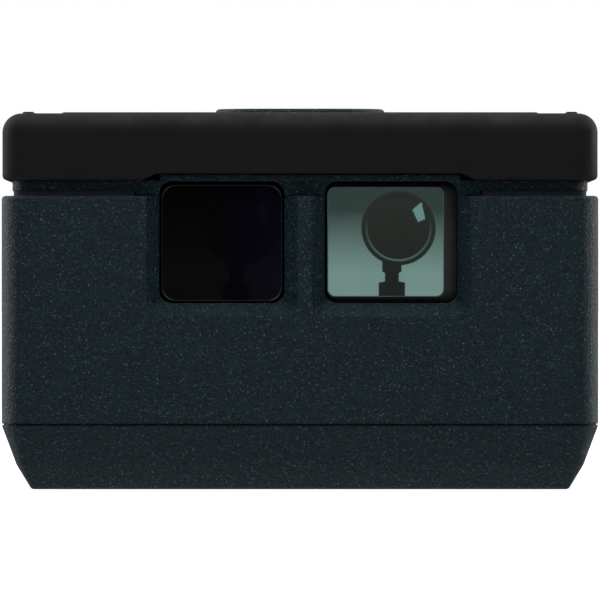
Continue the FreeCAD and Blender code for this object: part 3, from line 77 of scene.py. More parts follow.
# Paler edges, partly wear and partly painted highlight: how far they reach, and the turn of the normal
# (one less its cosine) where they start and where they are full.
EDGE_REACH = 0.16 * MM
EDGE_TURN = (0.02, 0.30)

# Colours, in linear light.
TEAL = (0.0024, 0.0168, 0.0228)
# The glint colour below is painted light: pale dots laid into the teal's colour where light would catch the
# grain.
TEAL_PAINTED_GLINT = (0.190, 0.265, 0.290)
BLACK_SOFT = (0.0050, 0.0050, 0.0051)
BLACK_WEAR_AND_SHEEN = (0.020, 0.020, 0.020)


# ---- material kit -----------------------------------------------------------------------


def scaled(colour, share):
    """Colour made paler or darker by a factor."""
    return tuple(share * part for part in colour)


class Shader:
    """One node material: makes nodes, links them and sets the surface's own sockets."""

    def __init__(self, name, **surface):
        self.material = bpy.data.materials.new(name)
        self.material.use_nodes = True
        self.tree = self.material.node_tree
        self.surface = self.tree.nodes["Principled BSDF"]
        self.place = self.node("ShaderNodeTexCoord").outputs["Object"]
        for socket, setting in surface.items():
            self.surface.inputs[socket.replace("_", " ")].default_value = setting

    def node(self, kind, **settings):
        """New node; capitalised settings are input sockets, the others are its own properties."""
        made = self.tree.nodes.new(kind)
        for name, setting in settings.items():
            if name[0].isupper():
                self.feed(made.inputs[name.replace("_", " ")], setting)
            else:
                setattr(made, name, setting)
        return made

    def feed(self, socket, source):
        """Link a socket to an output, or give it a plain value."""
        if isinstance(source, bpy.types.NodeSocket):
            self.tree.links.new(source, socket)
        else:
            socket.default_value = source

    def noise(self, scale, detail=4.0, rough=0.55):
        """Noise over the object's own coordinates; scale is in waves per metre."""
        made = self.node("ShaderNodeTexNoise", Vector=self.place, Scale=scale, Detail=detail, Roughness=rough)
        return made.outputs["Fac"]

    def cells(self, scale):
        """Distance to the nearest random point."""
        return self.node("ShaderNodeTexVoronoi", Vector=self.place, Scale=scale).outputs["Distance"]

    def sparks(self, scale, rare, bright):
        """Small dots at random points; rare is the share left out, bright is the strongest one's level."""
        points = self.node("ShaderNodeTexVoronoi", Vector=self.place, Scale=scale)
        lot = self.node("ShaderNodeSeparateColor", Color=points.outputs["Color"]).outputs["Red"]
        dots = self.map(points.outputs["Distance"], 0.16, 0.42, 1.0, 0.0)
        return self.math("MULTIPLY", dots, self.map(lot, rare, 1.0, 0.0, bright))

    def ramp(self, source, stops):
        """Colour ramp over a value; stops are (position, colour or grey)."""
        made = self.node("ShaderNodeValToRGB", Fac=source)
        elements = made.color_ramp.elements
        while len(elements) < len(stops):
            elements.new(0.5)
        for element, (position, colour) in zip(elements, stops):
            grey = isinstance(colour, (int, float))
            element.position = position
            element.color = (colour, colour, colour, 1) if grey else (*colour, 1)
        return made.outputs["Color"]

    def map(self, source, low, high, to_low, to_high):
        """Value carried from one range to another and held inside it."""
        made = self.node("ShaderNodeMapRange", Value=source, From_Min=low, From_Max=high,
                         To_Min=to_low, To_Max=to_high)
        return made.outputs["Result"]

    def mix(self, share, first, second):
        """Two colours mixed by a share."""
        made = self.node("ShaderNodeMix", data_type="RGBA")
        self.feed(made.inputs["Factor"], share)
        self.feed(made.inputs[6], first if not isinstance(first, tuple) else (*first, 1))
        self.feed(made.inputs[7], second if not isinstance(second, tuple) else (*second, 1))
        return made.outputs[2]

    def math(self, operation, first, second=0.0):
        """Arithmetic on two values."""
        made = self.node("ShaderNodeMath", operation=operation)
        self.feed(made.inputs[0], first)
        self.feed(made.inputs[1], second)
        return made.outputs[0]

    def edges(self):
        """Share of an edge, from how far the normal turns when edges are rounded."""
        rounded = self.node("ShaderNodeBevel", samples=4, Radius=EDGE_REACH).outputs["Normal"]
        plain = self.node("ShaderNodeNewGeometry").outputs["Normal"]
        dot = self.node("ShaderNodeVectorMath", operation="DOT_PRODUCT")
        self.feed(dot.inputs[0], rounded)
        self.feed(dot.inputs[1], plain)
        return self.map(self.math("SUBTRACT", 1.0, dot.outputs["Value"]), *EDGE_TURN, 0.0, 1.0)

    def bump(self, height, strength, distance, rounded=0.0):
        """Relief of the surface in metres, over edges that look rounded by so many mm."""
        made = self.node("ShaderNodeBump", Height=height, Strength=strength, Distance=distance)
        if rounded:
            bevel = self.node("ShaderNodeBevel", samples=4, Radius=rounded * MM)
            self.feed(made.inputs["Normal"], bevel.outputs["Normal"])
        self.feed(self.surface.inputs["Normal"], made.outputs["Normal"])

    def colour(self, source):
        self.feed(self.surface.inputs["Base Color"], source)

    def rough(self, source):
        self.feed(self.surface.inputs["Roughness"], source)


def grained_teal(name):
    """Spark-eroded moulded plastic: a mottled dark teal over shallow pits, with fine glints painted into its
    colour as pale dots.
    """
    shader = Shader(name, Specular_IOR_Level=0.23)
    pits = shader.noise(5200, 3, 0.65)
    fine = shader.noise(9500, 2, 0.6)
    mottled = shader.mix(shader.map(pits, 0.36, 0.64, 0.0, 1.0), scaled(TEAL, 0.55), scaled(TEAL, 1.55))
    # Painted glints: pale dots in the base colour in place of light caught by the grain.
    dense = shader.sparks(10500.0, 0.30, 0.46)
    sparse = shader.sparks(7000.0, 0.66, 1.0)
    broken = shader.map(fine, 0.38, 0.62, 0.35, 1.0)
    glints = shader.math("MULTIPLY", shader.math("MAXIMUM", dense, sparse), broken)
    shader.colour(shader.mix(glints, mottled, TEAL_PAINTED_GLINT))
    shader.rough(shader.map(pits, 0.3, 0.7, 0.36, 0.56))
    shader.bump(shader.math("ADD", pits, shader.math("MULTIPLY", fine, 0.6)), 1.0, 0.00015, 0.22)
    return shader.material


def soft_black(name):
    """Matt thermoplastic rubber with faint clouding, dust, and paler edges that are partly rubbed wear and
    partly painted highlight.
    """
    shader = Shader(name, Specular_IOR_Level=0.27)
    clouds = shader.noise(650, 4)
    dust = shader.ramp(shader.noise(6500, 2), [(0.0, 0.0), (0.66, 0.0), (0.78, 1.0)])
    base = shader.mix(shader.map(clouds, 0.3, 0.7, 0.0, 1.0), BLACK_SOFT, scaled(BLACK_SOFT, 1.4))
    dusty = shader.mix(shader.math("MULTIPLY", dust, 0.18), base, (0.05, 0.05, 0.048))
    # Paler edges: partly rubbed wear, partly a painted highlight.
    shader.colour(shader.mix(shader.math("MULTIPLY", shader.edges(), 0.4), dusty, BLACK_WEAR_AND_SHEEN))
    shader.rough(shader.map(clouds, 0.3, 0.7, 0.68, 0.84))
    shader.bump(shader.math("ADD", shader.noise(7000, 3), shader.noise(900, 2)), 0.18, 0.00005, 0.12)
    return shader.material


def moulded(name, base, lift, low, high, scale, strength):
    """Plain moulded plastic or rubber with fine grain, clouding and paler edges, partly wear and partly
    painted highlight.
    """
    shader = Shader(name)
    clouds = shader.noise(scale * 0.08, 3)
    grain = shader.noise(scale, 3)
    body = shader.mix(shader.map(clouds, 0.3, 0.7, 0.0, 1.0), base, lift)
    # Paler edges: partly wear, partly a painted highlight.
    shader.colour(shader.mix(shader.math("MULTIPLY", shader.edges(), 0.35), body, scaled(lift, 1.8)))
    shader.rough(shader.map(grain, 0.3, 0.7, low, high))
    shader.bump(grain, strength, 0.00004)
    return shader.material


def metal(name, base, rough, streak=(1.0, 1.0, 30.0)):
    """Plated or turned metal with fine streaks along two directions and clouded gloss."""
    shader = Shader(name, Metallic=1.0)
    stretch = shader.node("ShaderNodeMapping", Vector=shader.place, Scale=streak)
    lines = shader.node("ShaderNodeTexNoise", Vector=stretch.outputs["Vector"], Scale=1800.0, Detail=3.0)
    clouds = shader.noise(500, 3)
    shader.colour(shader.mix(shader.map(clouds, 0.3, 0.7, 0, 1), base, scaled(base, 0.78)))
    shader.rough(shader.map(lines.outputs["Fac"], 0.3, 0.7, rough * 0.7, rough * 1.5))
    shader.bump(lines.outputs["Fac"], 0.12, 0.00002)
    return shader.material


def violet_window(name):
    """Nearly black polished filter glass with a violet cast that deepens towards one side."""
    shader = Shader(name, Specular_IOR_Level=0.035, IOR=1.52)
    low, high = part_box("emitter_window")
    parts = shader.node("ShaderNodeSeparateXYZ", Vector=shader.place)
    across = shader.map(parts.outputs["X"], low.x + 3.2 * MM, high.x, 0.0, 1.0)
    smoky = shader.mix(shader.noise(300, 2), (0.0028, 0.0026, 0.0033), (0.0034, 0.0031, 0.0042))
    body = shader.mix(shader.math("MULTIPLY", across, 0.8), smoky, (0.0052, 0.0034, 0.0135))
    shader.colour(body)
    shader.rough(shader.map(shader.noise(900, 2), 0.3, 0.7, 0.025, 0.06))
    return shader.material


def coated_lens(name):
    """Receiver lens: dark filter glass under a coating that throws back teal light."""
    shader = Shader(name, IOR=1.52, Roughness=0.01)
    mirror = shader.node("ShaderNodeBsdfGlossy", Color=(0.50, 0.98, 0.86, 1), Roughness=0.015)
    blend = shader.node("ShaderNodeMixShader")
    clouds = shader.noise(260, 2)
    shader.colour(shader.mix(clouds, (0.010, 0.0085, 0.0075), (0.014, 0.0120, 0.0105)))
    shader.feed(blend.inputs[0], shader.map(clouds, 0.3, 0.7, 0.36, 0.40))
    shader.feed(blend.inputs[1], shader.surface.outputs["BSDF"])
    shader.feed(blend.inputs[2], mirror.outputs["BSDF"])
    output = shader.tree.nodes["Material Output"]
    shader.feed(output.inputs["Surface"], blend.outputs["Shader"])
    return shader.material


def polished_border(name, base):
    """Border of a window: the same glass, uncoated, over a given base colour; on the emitter it is the dark
    mount showing through, on the lens it is paler, painted light that lifts its shaded bevel.
    """
    shader = Shader(name, Specular_IOR_Level=0.85, IOR=1.52)
    shader.colour(shader.mix(shader.noise(600, 2), scaled(base, 0.6), base))
    shader.rough(shader.map(shader.noise(900, 2), 0.3, 0.7, 0.03, 0.08))
    return shader.material


def rim_highlight(name):
    """Narrow rough rim where a lens's face meets its border, its pale colour a painted highlight line."""
    shader = Shader(name, Specular_IOR_Level=0.6)
    shader.colour(shader.mix(shader.noise(900, 3), (0.055, 0.085, 0.080), (0.150, 0.215, 0.200)))
    shader.rough(shader.map(shader.noise(2500, 3), 0.3, 0.7, 0.3, 0.5))
    return shader.material


def clear_glass(name, tint):
    """Plain polished glass or acrylic with faint smears."""
    shader = Shader(name, IOR=1.49, Transmission_Weight=1.0)
    shader.colour(shader.mix(shader.noise(250, 2), tint, scaled(tint, 0.92)))
    shader.rough(shader.map(shader.noise(800, 3), 0.3, 0.7, 0.01, 0.03))
    return shader.material


def circuit_board(name):
    """Green solder mask over copper tracks: cells and stripes lift the mask a little."""
    shader = Shader(name, Coat_Weight=0.3, Coat_Roughness=0.15)
    tracks = shader.node("ShaderNodeTexBrick", Vector=shader.place, Scale=420.0, Mortar_Size=0.02)
    weave = shader.noise(3000, 2)
    copper = shader.mix(tracks.outputs["Fac"], (0.006, 0.075, 0.030), (0.012, 0.130, 0.052))
    shader.colour(shader.mix(shader.map(weave, 0.3, 0.7, 0, 0.4), copper, (0.010, 0.095, 0.036)))
    shader.rough(shader.map(weave, 0.3, 0.7, 0.28, 0.42))
    shader.bump(tracks.outputs["Fac"], 0.2, 0.00003)
    return shader.material


def foam_material(name):
    """Open-cell foam: dark pores in a grey skin."""
    shader = Shader(name, Sheen_Weight=0.2)
    pores = shader.cells(3500)
    shader.colour(shader.ramp(pores, [(0.0, (0.010, 0.010, 0.010)), (0.6, (0.055, 0.055, 0.055))]))
    shader.rough(shader.map(pores, 0.0, 0.6, 0.9, 0.8))
    shader.bump(pores, 0.6, 0.0001)
    return shader.material


def ceramic_chip(name):
    """Fired ceramic capacitor body with tinned ends."""
    shader = Shader(name)
    grain = shader.noise(6000, 3)
    shader.colour(shader.mix(grain, (0.30, 0.19, 0.10), (0.42, 0.29, 0.17)))
    shader.rough(shader.map(grain, 0.3, 0.7, 0.3, 0.5))
    shader.bump(grain, 0.2, 0.00002)
    return shader.material


def cell_sleeve(name):
    """Printed cell sleeve: dark film with one paler band near the end, glossy with fine wrinkles."""
    shader = Shader(name, Coat_Weight=0.4, Coat_Roughness=0.12)
    low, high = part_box("cell_left")
    along = shader.node("ShaderNodeSeparateXYZ", Vector=shader.place).outputs["Y"]
    edge = low.y + 0.72 * (high.y - low.y)
    band = shader.map(along, edge, edge + 0.15 * MM, 0.0, 1.0)
    clouds = shader.noise(900, 3)
    dark = shader.mix(clouds, (0.030, 0.031, 0.036), (0.042, 0.043, 0.050))
    pale = shader.mix(clouds, (0.42, 0.25, 0.09), (0.50, 0.31, 0.12))
    shader.colour(shader.mix(band, dark, pale))
    shader.rough(shader.map(clouds, 0.3, 0.7, 0.26, 0.40))
    shader.bump(shader.noise(2600, 2), 0.08, 0.00003)
    return shader.material


# Plain mouldings: body colour, cloud colour, lowest and highest roughness, grain scale, relief.
MOULDED = {
    "key_rubber": ((0.014, 0.014, 0.015), (0.022, 0.022, 0.023), 0.5, 0.7, 6000, 0.15),
    "seal_rubber": ((0.016, 0.020, 0.027), (0.024, 0.029, 0.037), 0.7, 0.85, 5000, 0.25),
    "mat_rubber": ((0.20, 0.21, 0.22), (0.28, 0.29, 0.30), 0.6, 0.8, 5000, 0.25),
    "lcd_glass": ((0.26, 0.31, 0.27), (0.30, 0.35, 0.31), 0.22, 0.3, 2000, 0.02),
    "frame_plastic": ((0.010, 0.010, 0.011), (0.017, 0.017, 0.018), 0.45, 0.65, 5000, 0.25),
    "white_plastic": ((0.75, 0.76, 0.74), (0.82, 0.83, 0.80), 0.4, 0.55, 5000, 0.25),
    "chip_plastic": ((0.012, 0.012, 0.013), (0.022, 0.022, 0.022), 0.55, 0.7, 9000, 0.2),
    "coil_core": ((0.055, 0.055, 0.058), (0.085, 0.085, 0.09), 0.6, 0.8, 7000, 0.4),
    "flex_film": ((0.36, 0.13, 0.02), (0.42, 0.17, 0.03), 0.3, 0.45, 1500, 0.05),
    "label_film": ((0.42, 0.43, 0.44), (0.48, 0.49, 0.50), 0.45, 0.6, 3000, 0.08),
}

# Metals: colour, roughness and, where it isn't the usual one, the direction of the streaks.
METALS = {
    "sheet_steel": ((0.60, 0.59, 0.57), 0.25),
    "screw_steel": ((0.52, 0.53, 0.55), 0.32),
    "brass": ((0.72, 0.50, 0.22), 0.22, (30.0, 1.0, 1.0)),
}

CLEAR = {"display_glass": ((0.82, 0.86, 0.88),), "clear_glass": ((0.90, 0.92, 0.95),)}

OWN_FINISH = {
    "teal_shell": grained_teal, "black_soft": soft_black, "foam": foam_material, "board_green": circuit_board,
    "capacitor_ceramic": ceramic_chip, "dark_window": violet_window, "coated_lens": coated_lens,
    "cell_can": cell_sleeve,
}

SLOT_OF = {entry["node"]: entry["material_slot"] for entry in frame["record"]["subparts"]}


def finish_of(slot):
    """Make the finish of a material slot."""
    for maker, table in ((moulded, MOULDED), (metal, METALS), (clear_glass, CLEAR)):
        if slot in table:
            return maker(slot, *table[slot])
    return OWN_FINISH[slot](slot)


def paint_frame():
    """Give every CAD node the finish of its own material slot; returns the finishes by slot."""
    made = {}
    for node, slot in SLOT_OF.items():
        if slot not in made:
            made[slot] = finish_of(slot)
        item = frame["nodes"][node]
        item.data.materials.clear()
        item.data.materials.append(made[slot])
        shade_crisply(item)
    return made


def main_directions():
    """Directions that the case's flat faces look in: along the axes, and at 45 degrees in the recesses."""
    axes = [Vector((1, 0, 0)), Vector((0, 1, 0)), Vector((0, 0, 1))]
    squares = [side * axis for axis in axes for side in (-1, 1)]
    pairs = [(first, second) for number, first in enumerate(squares) for second in squares[number + 1:]]
    slopes = [(first + second).normalized() for first, second in pairs if abs(first.dot(second)) < 0.5]
    return squares + slopes


def on_domain(group, domain, source):
    """A vector field as it is on faces or on face corners."""
    made = group.nodes.new("GeometryNodeFieldOnDomain")
    made.domain, made.data_type = domain, "FLOAT_VECTOR"
    group.links.new(source, made.inputs["Value"])
    return made.outputs["Value"]


def flat_normal(group):
    """Corner normal, swapped for a main direction where the face looks almost exactly that way."""
    normal = group.nodes.new("GeometryNodeInputNormal").outputs["Normal"]
    facing = on_domain(group, "FACE", normal)
    chosen = on_domain(group, "CORNER", normal)
    for direction in main_directions():
        dot = group.nodes.new("ShaderNodeVectorMath")
        dot.operation = "DOT_PRODUCT"
        dot.inputs[1].default_value = direction
        near = group.nodes.new("FunctionNodeCompare")
        near.data_type, near.operation = "FLOAT", "GREATER_THAN"
        near.inputs["B"].default_value = math.cos(math.radians(FLAT_ANGLE))
        switch = group.nodes.new("GeometryNodeSwitch")
        switch.input_type = "VECTOR"
        switch.inputs["True"].default_value = direction
        group.links.new(facing, dot.inputs[0])
        group.links.new(dot.outputs["Value"], near.inputs["A"])
        group.links.new(near.outputs["Result"], switch.inputs["Switch"])
        group.links.new(chosen, switch.inputs["False"])
        chosen = switch.outputs["Output"]
    return chosen


def smooth_step(group, domain):
    """Node that sets smooth shading on faces or edges."""
    made = group.nodes.new("GeometryNodeSetShadeSmooth")
    made.domain = domain
    return made


def crisp_group():
    """Geometry nodes that shade smoothly, keep edges crisp and set flat faces exactly flat."""
    group = bpy.data.node_groups.new("crisp_edges", "GeometryNodeTree")
    for way in ("INPUT", "OUTPUT"):
        group.interface.new_socket("Geometry", in_out=way, socket_type="NodeSocketGeometry")
    start, end = group.nodes.new("NodeGroupInput"), group.nodes.new("NodeGroupOutput")
    angle = group.nodes.new("GeometryNodeInputMeshEdgeAngle")
    gentle = group.nodes.new("FunctionNodeCompare")
    gentle.data_type, gentle.operation = "FLOAT", "LESS_THAN"
    gentle.inputs["B"].default_value = math.radians(CRISP_ANGLE)
    faces, edges = smooth_step(group, "FACE"), smooth_step(group, "EDGE")
    flatten = group.nodes.new("GeometryNodeSetMeshNormal")
    flatten.mode, flatten.domain = "FREE", "CORNER"
    links = group.links
    links.new(start.outputs[0], faces.inputs["Geometry"])
    links.new(faces.outputs[0], edges.inputs["Geometry"])
    links.new(angle.outputs["Unsigned Angle"], gentle.inputs["A"])
    links.new(gentle.outputs["Result"], edges.inputs["Shade Smooth"])
    links.new(edges.outputs[0], flatten.inputs["Mesh"])
    links.new(flat_normal(group), flatten.inputs["Custom Normal"])
    links.new(flatten.outputs[0], end.inputs[0])
    return group


def shade_crisply(item):
    """Weld the frame's split corners for shading and keep flat faces flat."""
    if item.data.has_custom_normals:
        item.data.attributes.remove(item.data.attributes["custom_normal"])
    weld = item.modifiers.new("weld", "WELD")
    weld.merge_threshold = WELD_REACH
    crisp = item.modifiers.new("crisp", "NODES")
    crisp.node_group = bpy.data.node_groups.get("crisp_edges") or crisp_group()


# ---- window glass -----------------------------------------------------------------------

CORNER_STEPS = 14
SIDE_STEPS = 20
FACE_RINGS = 26
BORDER_RINGS = 10
# Where the rim with the painted highlight line ends, as a share of the way from the middle to the face's
# outline.
RIM_SHARE = 0.986
DOME_RADIUS = 0.070
# Border widths at the left, right, bottom and top, in mm.
EMITTER_BORDER = (0.12, 0.12, 0.10, 0.15)
LENS_BORDER = (0.10, 0.74, 0.32, 0.24)


def between(start, end, share):
    """Point part of the way from one to another."""
    return start[0] + (end[0] - start[0]) * share, start[1] + (end[1] - start[1]) * share


def rounded_outline(left, right, low, high, radius):
    """Points round a rounded rectangle in the XZ plane, close together on its sides too."""
    centres = ((right - radius, high - radius), (left + radius, high - radius),
               (left + radius, low + radius), (right - radius, low + radius))
    points = []
    for quarter, centre in enumerate(centres):
        for step in range(CORNER_STEPS + 1):
            turn = math.pi / 2 * (quarter + step / CORNER_STEPS)
            points.append((centre[0] + radius * math.cos(turn), centre[1] + radius * math.sin(turn)))
        following = centres[(quarter + 1) % 4]
        start = points[-1]
        end = (following[0] + radius * math.cos(turn), following[1] + radius * math.sin(turn))
        points += [between(start, end, step / SIDE_STEPS) for step in range(1, SIDE_STEPS)]
    return points


def glass_rings(box, outer, inner, deep, profile):
    """Rings of points from the back edge, up the side, across the border and in over the domed face."""
    low, high = box
    middle = ((low.x + high.x) / 2, (low.z + high.z) / 2)

    def on_dome(place, depth):
        sag = ((place[0] - middle[0]) ** 2 + (place[1] - middle[1]) ** 2) / (2 * DOME_RADIUS)
        return place[0], low.y + depth + sag, place[1]

    rings = [[(x, high.y, z) for x, z in outer]]
    for step in range(BORDER_RINGS + 1):
        share, depth = profile(step / BORDER_RINGS)
        rings.append([on_dome(between(out, into, share), deep * depth) for out, into in zip(outer, inner)])
    for step in range(FACE_RINGS):
        share = 1 - step / FACE_RINGS if step else RIM_SHARE
        rings.append([on_dome(between(middle, into, share), 0) for into in inner])
    return rings, (middle[0], low.y, middle[1])


def ring_mesh(name, rings, hub):
    """Closed mesh over rings of points, with a fan to the hub at one end and a flat face at the other."""
    count = len(rings[0])
    corners = [corner for ring in rings for corner in ring] + [hub]
    faces = []
    for start in range(0, (len(rings) - 1) * count, count):
        for step in range(count):
            following = (step + 1) % count
            faces.append((start + step, start + following, start + count + following, start + count + step))
    last = (len(rings) - 1) * count
    faces += [(last + step, last + (step + 1) % count, len(corners) - 1) for step in range(count)]
    faces.append(tuple(reversed(range(count))))
    mesh = bpy.data.meshes.new(name)
    mesh.from_pydata(corners, [], faces)
    return mesh


def window_glass(name, node, finishes, border, deep, radii, profile):
    """Polished window: domed front face, sloped or rounded border, straight sides and flat back.

    finishes are the face's, the border's and, if there is one, the rim's with the painted highlight line
    between them.
    border gives the border's widths; profile maps the way across it, from the side at 0 to the
    face at 1, to (share of the width, share of the depth). radii are the outer and inner corners'.
    """
    low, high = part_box(node)
    left, right, bottom, top = (width * MM for width in border)
    outer = rounded_outline(low.x, high.x, low.z, high.z, radii[0])
    inner = rounded_outline(low.x + left, high.x - right, low.z + bottom, high.z - top, radii[1])
    mesh = ring_mesh(name, *glass_rings((low, high), outer, inner, deep, profile))
    for finish in finishes:
        mesh.materials.append(finish)
    border_end = len(outer) * (BORDER_RINGS + 1)
    rim_end = border_end + len(outer) if len(finishes) > 2 else border_end
    for face in mesh.polygons:
        face.material_index = 1 if face.index < border_end else 2 if face.index < rim_end else 0
    mesh.shade_smooth()
    mesh.set_sharp_from_angle(angle=math.radians(CRISP_ANGLE))
    glass = bpy.data.objects.new(name, mesh)
    bpy.context.scene.collection.objects.link(glass)
    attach(glass, "case")
    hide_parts(node)


def quarter_round(way):
    """Border that rolls evenly from the side to the face."""
    turn = way * math.pi / 2
    return 1 - math.cos(turn), 1 - math.sin(turn)


def soft_bevel(way):
    """Sloped border with a small round at each end."""
    ease = 0.5 - 0.5 * math.cos(way * math.pi)
    share = 0.75 * way + 0.25 * ease
    return share, 1 - share ** 1.15


def window_pieces(finishes):
    """Both windows: the emitter's dark window and the receiver's lens."""
    dark = (finishes["dark_window"], polished_border("emitter_border", (0.0085, 0.0082, 0.0090)))
    window_glass("emitter_glass", "emitter_window", dark, EMITTER_BORDER, 0.30 * MM,
                 (0.75 * MM, 0.9 * MM), quarter_round)
    # The lens border's pale base colour is painted light, lifting its shaded bevel band.
    coated = (finishes["coated_lens"], polished_border("lens_border", (0.090, 0.088, 0.083)),
              # The rim's pale colour is a painted highlight line.
              rim_highlight("lens_rim_highlight"))
    window_glass("receiver_glass", "receiver_lens", coated, LENS_BORDER, 0.60 * MM,
                 (0.75 * MM, 0.45 * MM), soft_bevel)


# ---- marks and display ------------------------------------------------------------------

# Ends of the strokes of a seven-segment nought, in widths across and half heights up.
NOUGHT_STROKES = (((0, 2), (1, 2)), ((1, 2), (1, 1)), ((1, 1), (1, 0)), ((1, 0), (0, 0)), ((0, 0), (0, 1)),
                  ((0, 1), (0, 2)))
# Strokes of the battery sign, in mm from its corner: outline and pole.
BATTERY_STROKES = (((0, 0), (-3.0, 0)), ((0, -1.3), (-3.0, -1.3)), ((0, 0), (0, -1.3)),
                   ((-3.0, 0), (-3.0, -1.3)), ((-3.25, -0.4), (-3.25, -0.9)))
DIGITS = 4
# A digit's width, the step to the next, its stroke's half width, and the decimal point's distance
# from the digit and radius, all in digit heights.
DIGIT_WIDE, DIGIT_STEP, DIGIT_STROKE, POINT_GAP, POINT_RADIUS = 0.5, 0.78, 0.055, 0.14, 0.06
# Length of a stroke's pointed end, in half widths.
STROKE_POINT = 1.15
LARGE_DIGIT, SMALL_DIGIT = 5.4 * MM, 2.9 * MM
INK_MARGIN = 2.6 * MM
INK_TALL = 0.02 * MM
MARK_TALL = 0.03 * MM
STROKE_HALF = 0.13 * MM


def circle(centre, radius, count):
    """Points round a circle."""
    turns = [2 * math.pi * number / count for number in range(count)]
    return [(centre[0] + radius * math.cos(turn), centre[1] + radius * math.sin(turn)) for turn in turns]


class Marks:
    """Thin raised shapes on a level surface, gathered into one mesh."""

    def __init__(self, level, tall):
        self.level, self.tall = level, tall
        self.corners, self.faces = [], []

    def add(self, outline):
        """Prism over a closed outline."""
        count, first = len(outline), len(self.corners)
        for height in (self.level, self.level + self.tall):
            self.corners += [(x, y, height) for x, y in outline]
        lower = list(range(first, first + count))
        upper = [corner + count for corner in lower]
        self.faces += [tuple(reversed(lower)), tuple(upper)]
        for step in range(count):
            following = (step + 1) % count
            self.faces.append((lower[step], lower[following], upper[following], upper[step]))

    def bar(self, start, end, half, point=0.0):
        """Straight stroke with blunt or pointed ends."""
        start, end = Vector(start), Vector(end)
        along = (end - start).normalized()
        across = Vector((-along.y, along.x)) * half
        if point:
            near, far = start + along * point, end - along * point
            outline = [near - across, far - across, end, far + across, near + across, start]
        else:
            outline = [start - across, end - across, end + across, start + across]
        self.add([(corner.x, corner.y) for corner in outline])

    def arc(self, centre, inner, outer, start=0.0, turn=360.0, count=48):
        """Ring or part of one, as short touching pieces."""
        for step in range(count):
            first, last = (math.radians(start + turn * (step + more) / count) for more in (0, 1))
            outline = [(centre[0] + radius * math.cos(end), centre[1] + radius * math.sin(end))
                       for radius, end in ((inner, first), (outer, first), (outer, last), (inner, last))]
            self.add(outline)

    def finish(self, name, body, material, slot):
        """Make the piece, riding on a body."""
        mesh = bpy.data.meshes.new(name)
        mesh.from_pydata(self.corners, [], self.faces)
        mesh.materials.append(material)
        piece = bpy.data.objects.new(name, mesh)
        bpy.context.scene.collection.objects.link(piece)
        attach(piece, body)


def number_row(marks, right, foot, tall):
    """Row of seven-segment noughts with a point after the first, read with the lens end up."""
    wide, half, step = DIGIT_WIDE * tall, DIGIT_STROKE * tall, DIGIT_STEP * tall
    for number in range(DIGITS):
        left = right + step * (DIGITS - 1 - number) + wide
        for stroke in NOUGHT_STROKES:
            ends = [(left - wide * across, foot - tall * up / 2) for across, up in stroke]
            marks.bar(*ends, half, point=STROKE_POINT * half)
    marks.add(circle((right + step * (DIGITS - 1) - POINT_GAP * tall, foot), POINT_RADIUS * tall, 12))


def display_ink(finishes):
    """What the display shows: a large row, a rule, two small rows and a battery sign."""
    low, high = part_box("lcd_panel")
    marks = Marks(high.z, INK_TALL)
    right, foot = low.x + INK_MARGIN, high.y - INK_MARGIN
    number_row(marks, right, foot, LARGE_DIGIT)
    for row in range(2):
        number_row(marks, right, foot - (8.2 + 4.4 * row) * MM, SMALL_DIGIT)
    rule = foot - 6.8 * MM
    marks.bar((low.x + 1.8 * MM, rule), (high.x - 1.8 * MM, rule), 0.06 * MM)
    corner = Vector((high.x - 2.2 * MM, foot - 15.4 * MM))
    for start, end in BATTERY_STROKES:
        marks.bar(corner + Vector(start) * MM, corner + Vector(end) * MM, 0.07 * MM)
    for cell in range(3):
        middle = corner.x - (0.6 + 0.85 * cell) * MM
        marks.bar((middle, corner.y - 0.3 * MM), (middle, corner.y - 1.0 * MM), 0.26 * MM)
    marks.finish("display_ink", "case", finishes["frame_plastic"], "frame_plastic")


def key_top(node):
    """Marks on a key's top face, and the middle of that face."""
    low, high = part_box(node)
    return Marks(high.z, MARK_TALL), ((low.x + high.x) / 2, (low.y + high.y) / 2)


def key_marks(finishes):
    """Plain signs on the three keys: a ring and dot, three bars, and an open ring with a stroke."""
    pale = finishes["label_film"]
    target, centre = key_top("measure_button")
    target.arc(centre, 1.35 * MM, 1.60 * MM)
    target.add(circle(centre, 0.42 * MM, 36))
    target.finish("measure_mark", "measure", pale, "label_film")
    bars, centre = key_top("mode_key")
    for number in (-1, 0, 1):
        across = centre[1] + 0.75 * number * MM
        bars.bar((centre[0] - 1.1 * MM, across), (centre[0] + 1.1 * MM, across), STROKE_HALF)
    bars.finish("mode_mark", "mode", pale, "label_film")
    ring, centre = key_top("clear_key")
    ring.arc(centre, 0.85 * MM, 1.10 * MM, -60.0, 300.0)
    ring.bar((centre[0], centre[1] - 0.25 * MM), (centre[0], centre[1] - 1.30 * MM), STROKE_HALF)
    ring.finish("clear_mark", "clear", pale, "label_film")


# ---- studio -----------------------------------------------------------------------------

EYE_DISTANCE = 0.80
EYE_HEIGHT = 11.42 * MM
# Width of the view at the lens end, in widths of the object.
FRAME_MARGIN = 1.0033445
SENSOR_WIDTH = 36.0
FLOOR_REACH = 12.0
FLOOR_LEVEL = -0.02 * MM

# The white card stands behind the eye point; the flag's parts stand before it, one in front of the other.
CARD_BEHIND = 0.06
CARD_HALF = 0.30
CARD_CORNERS = 48
FLAG_CENTRE = (0.023, 0.041)
FLAG_RADIUS = 0.058
RING_RADIUS = 0.0515
MIDDLE_RADIUS = 0.0485
STAND_AHEAD, FLAG_AHEAD, RING_AHEAD, MIDDLE_AHEAD, LAMP_AHEAD = 0.028, 0.030, 0.032, 0.034, 0.036
# Half width and height of the flag's stand, from the top down, and where it stands.
STAND_PROFILE = ((0.0150, -0.010), (0.0150, -0.027), (0.0108, -0.029), (0.0108, -0.042), (0.0205, -0.044),
                 (0.0205, -0.30))
STAND_MIDDLE = 0.0125
LAMP_CORNERS = ((0.044, 0.069), (0.053, 0.050), (0.064, 0.055), (0.058, 0.081))


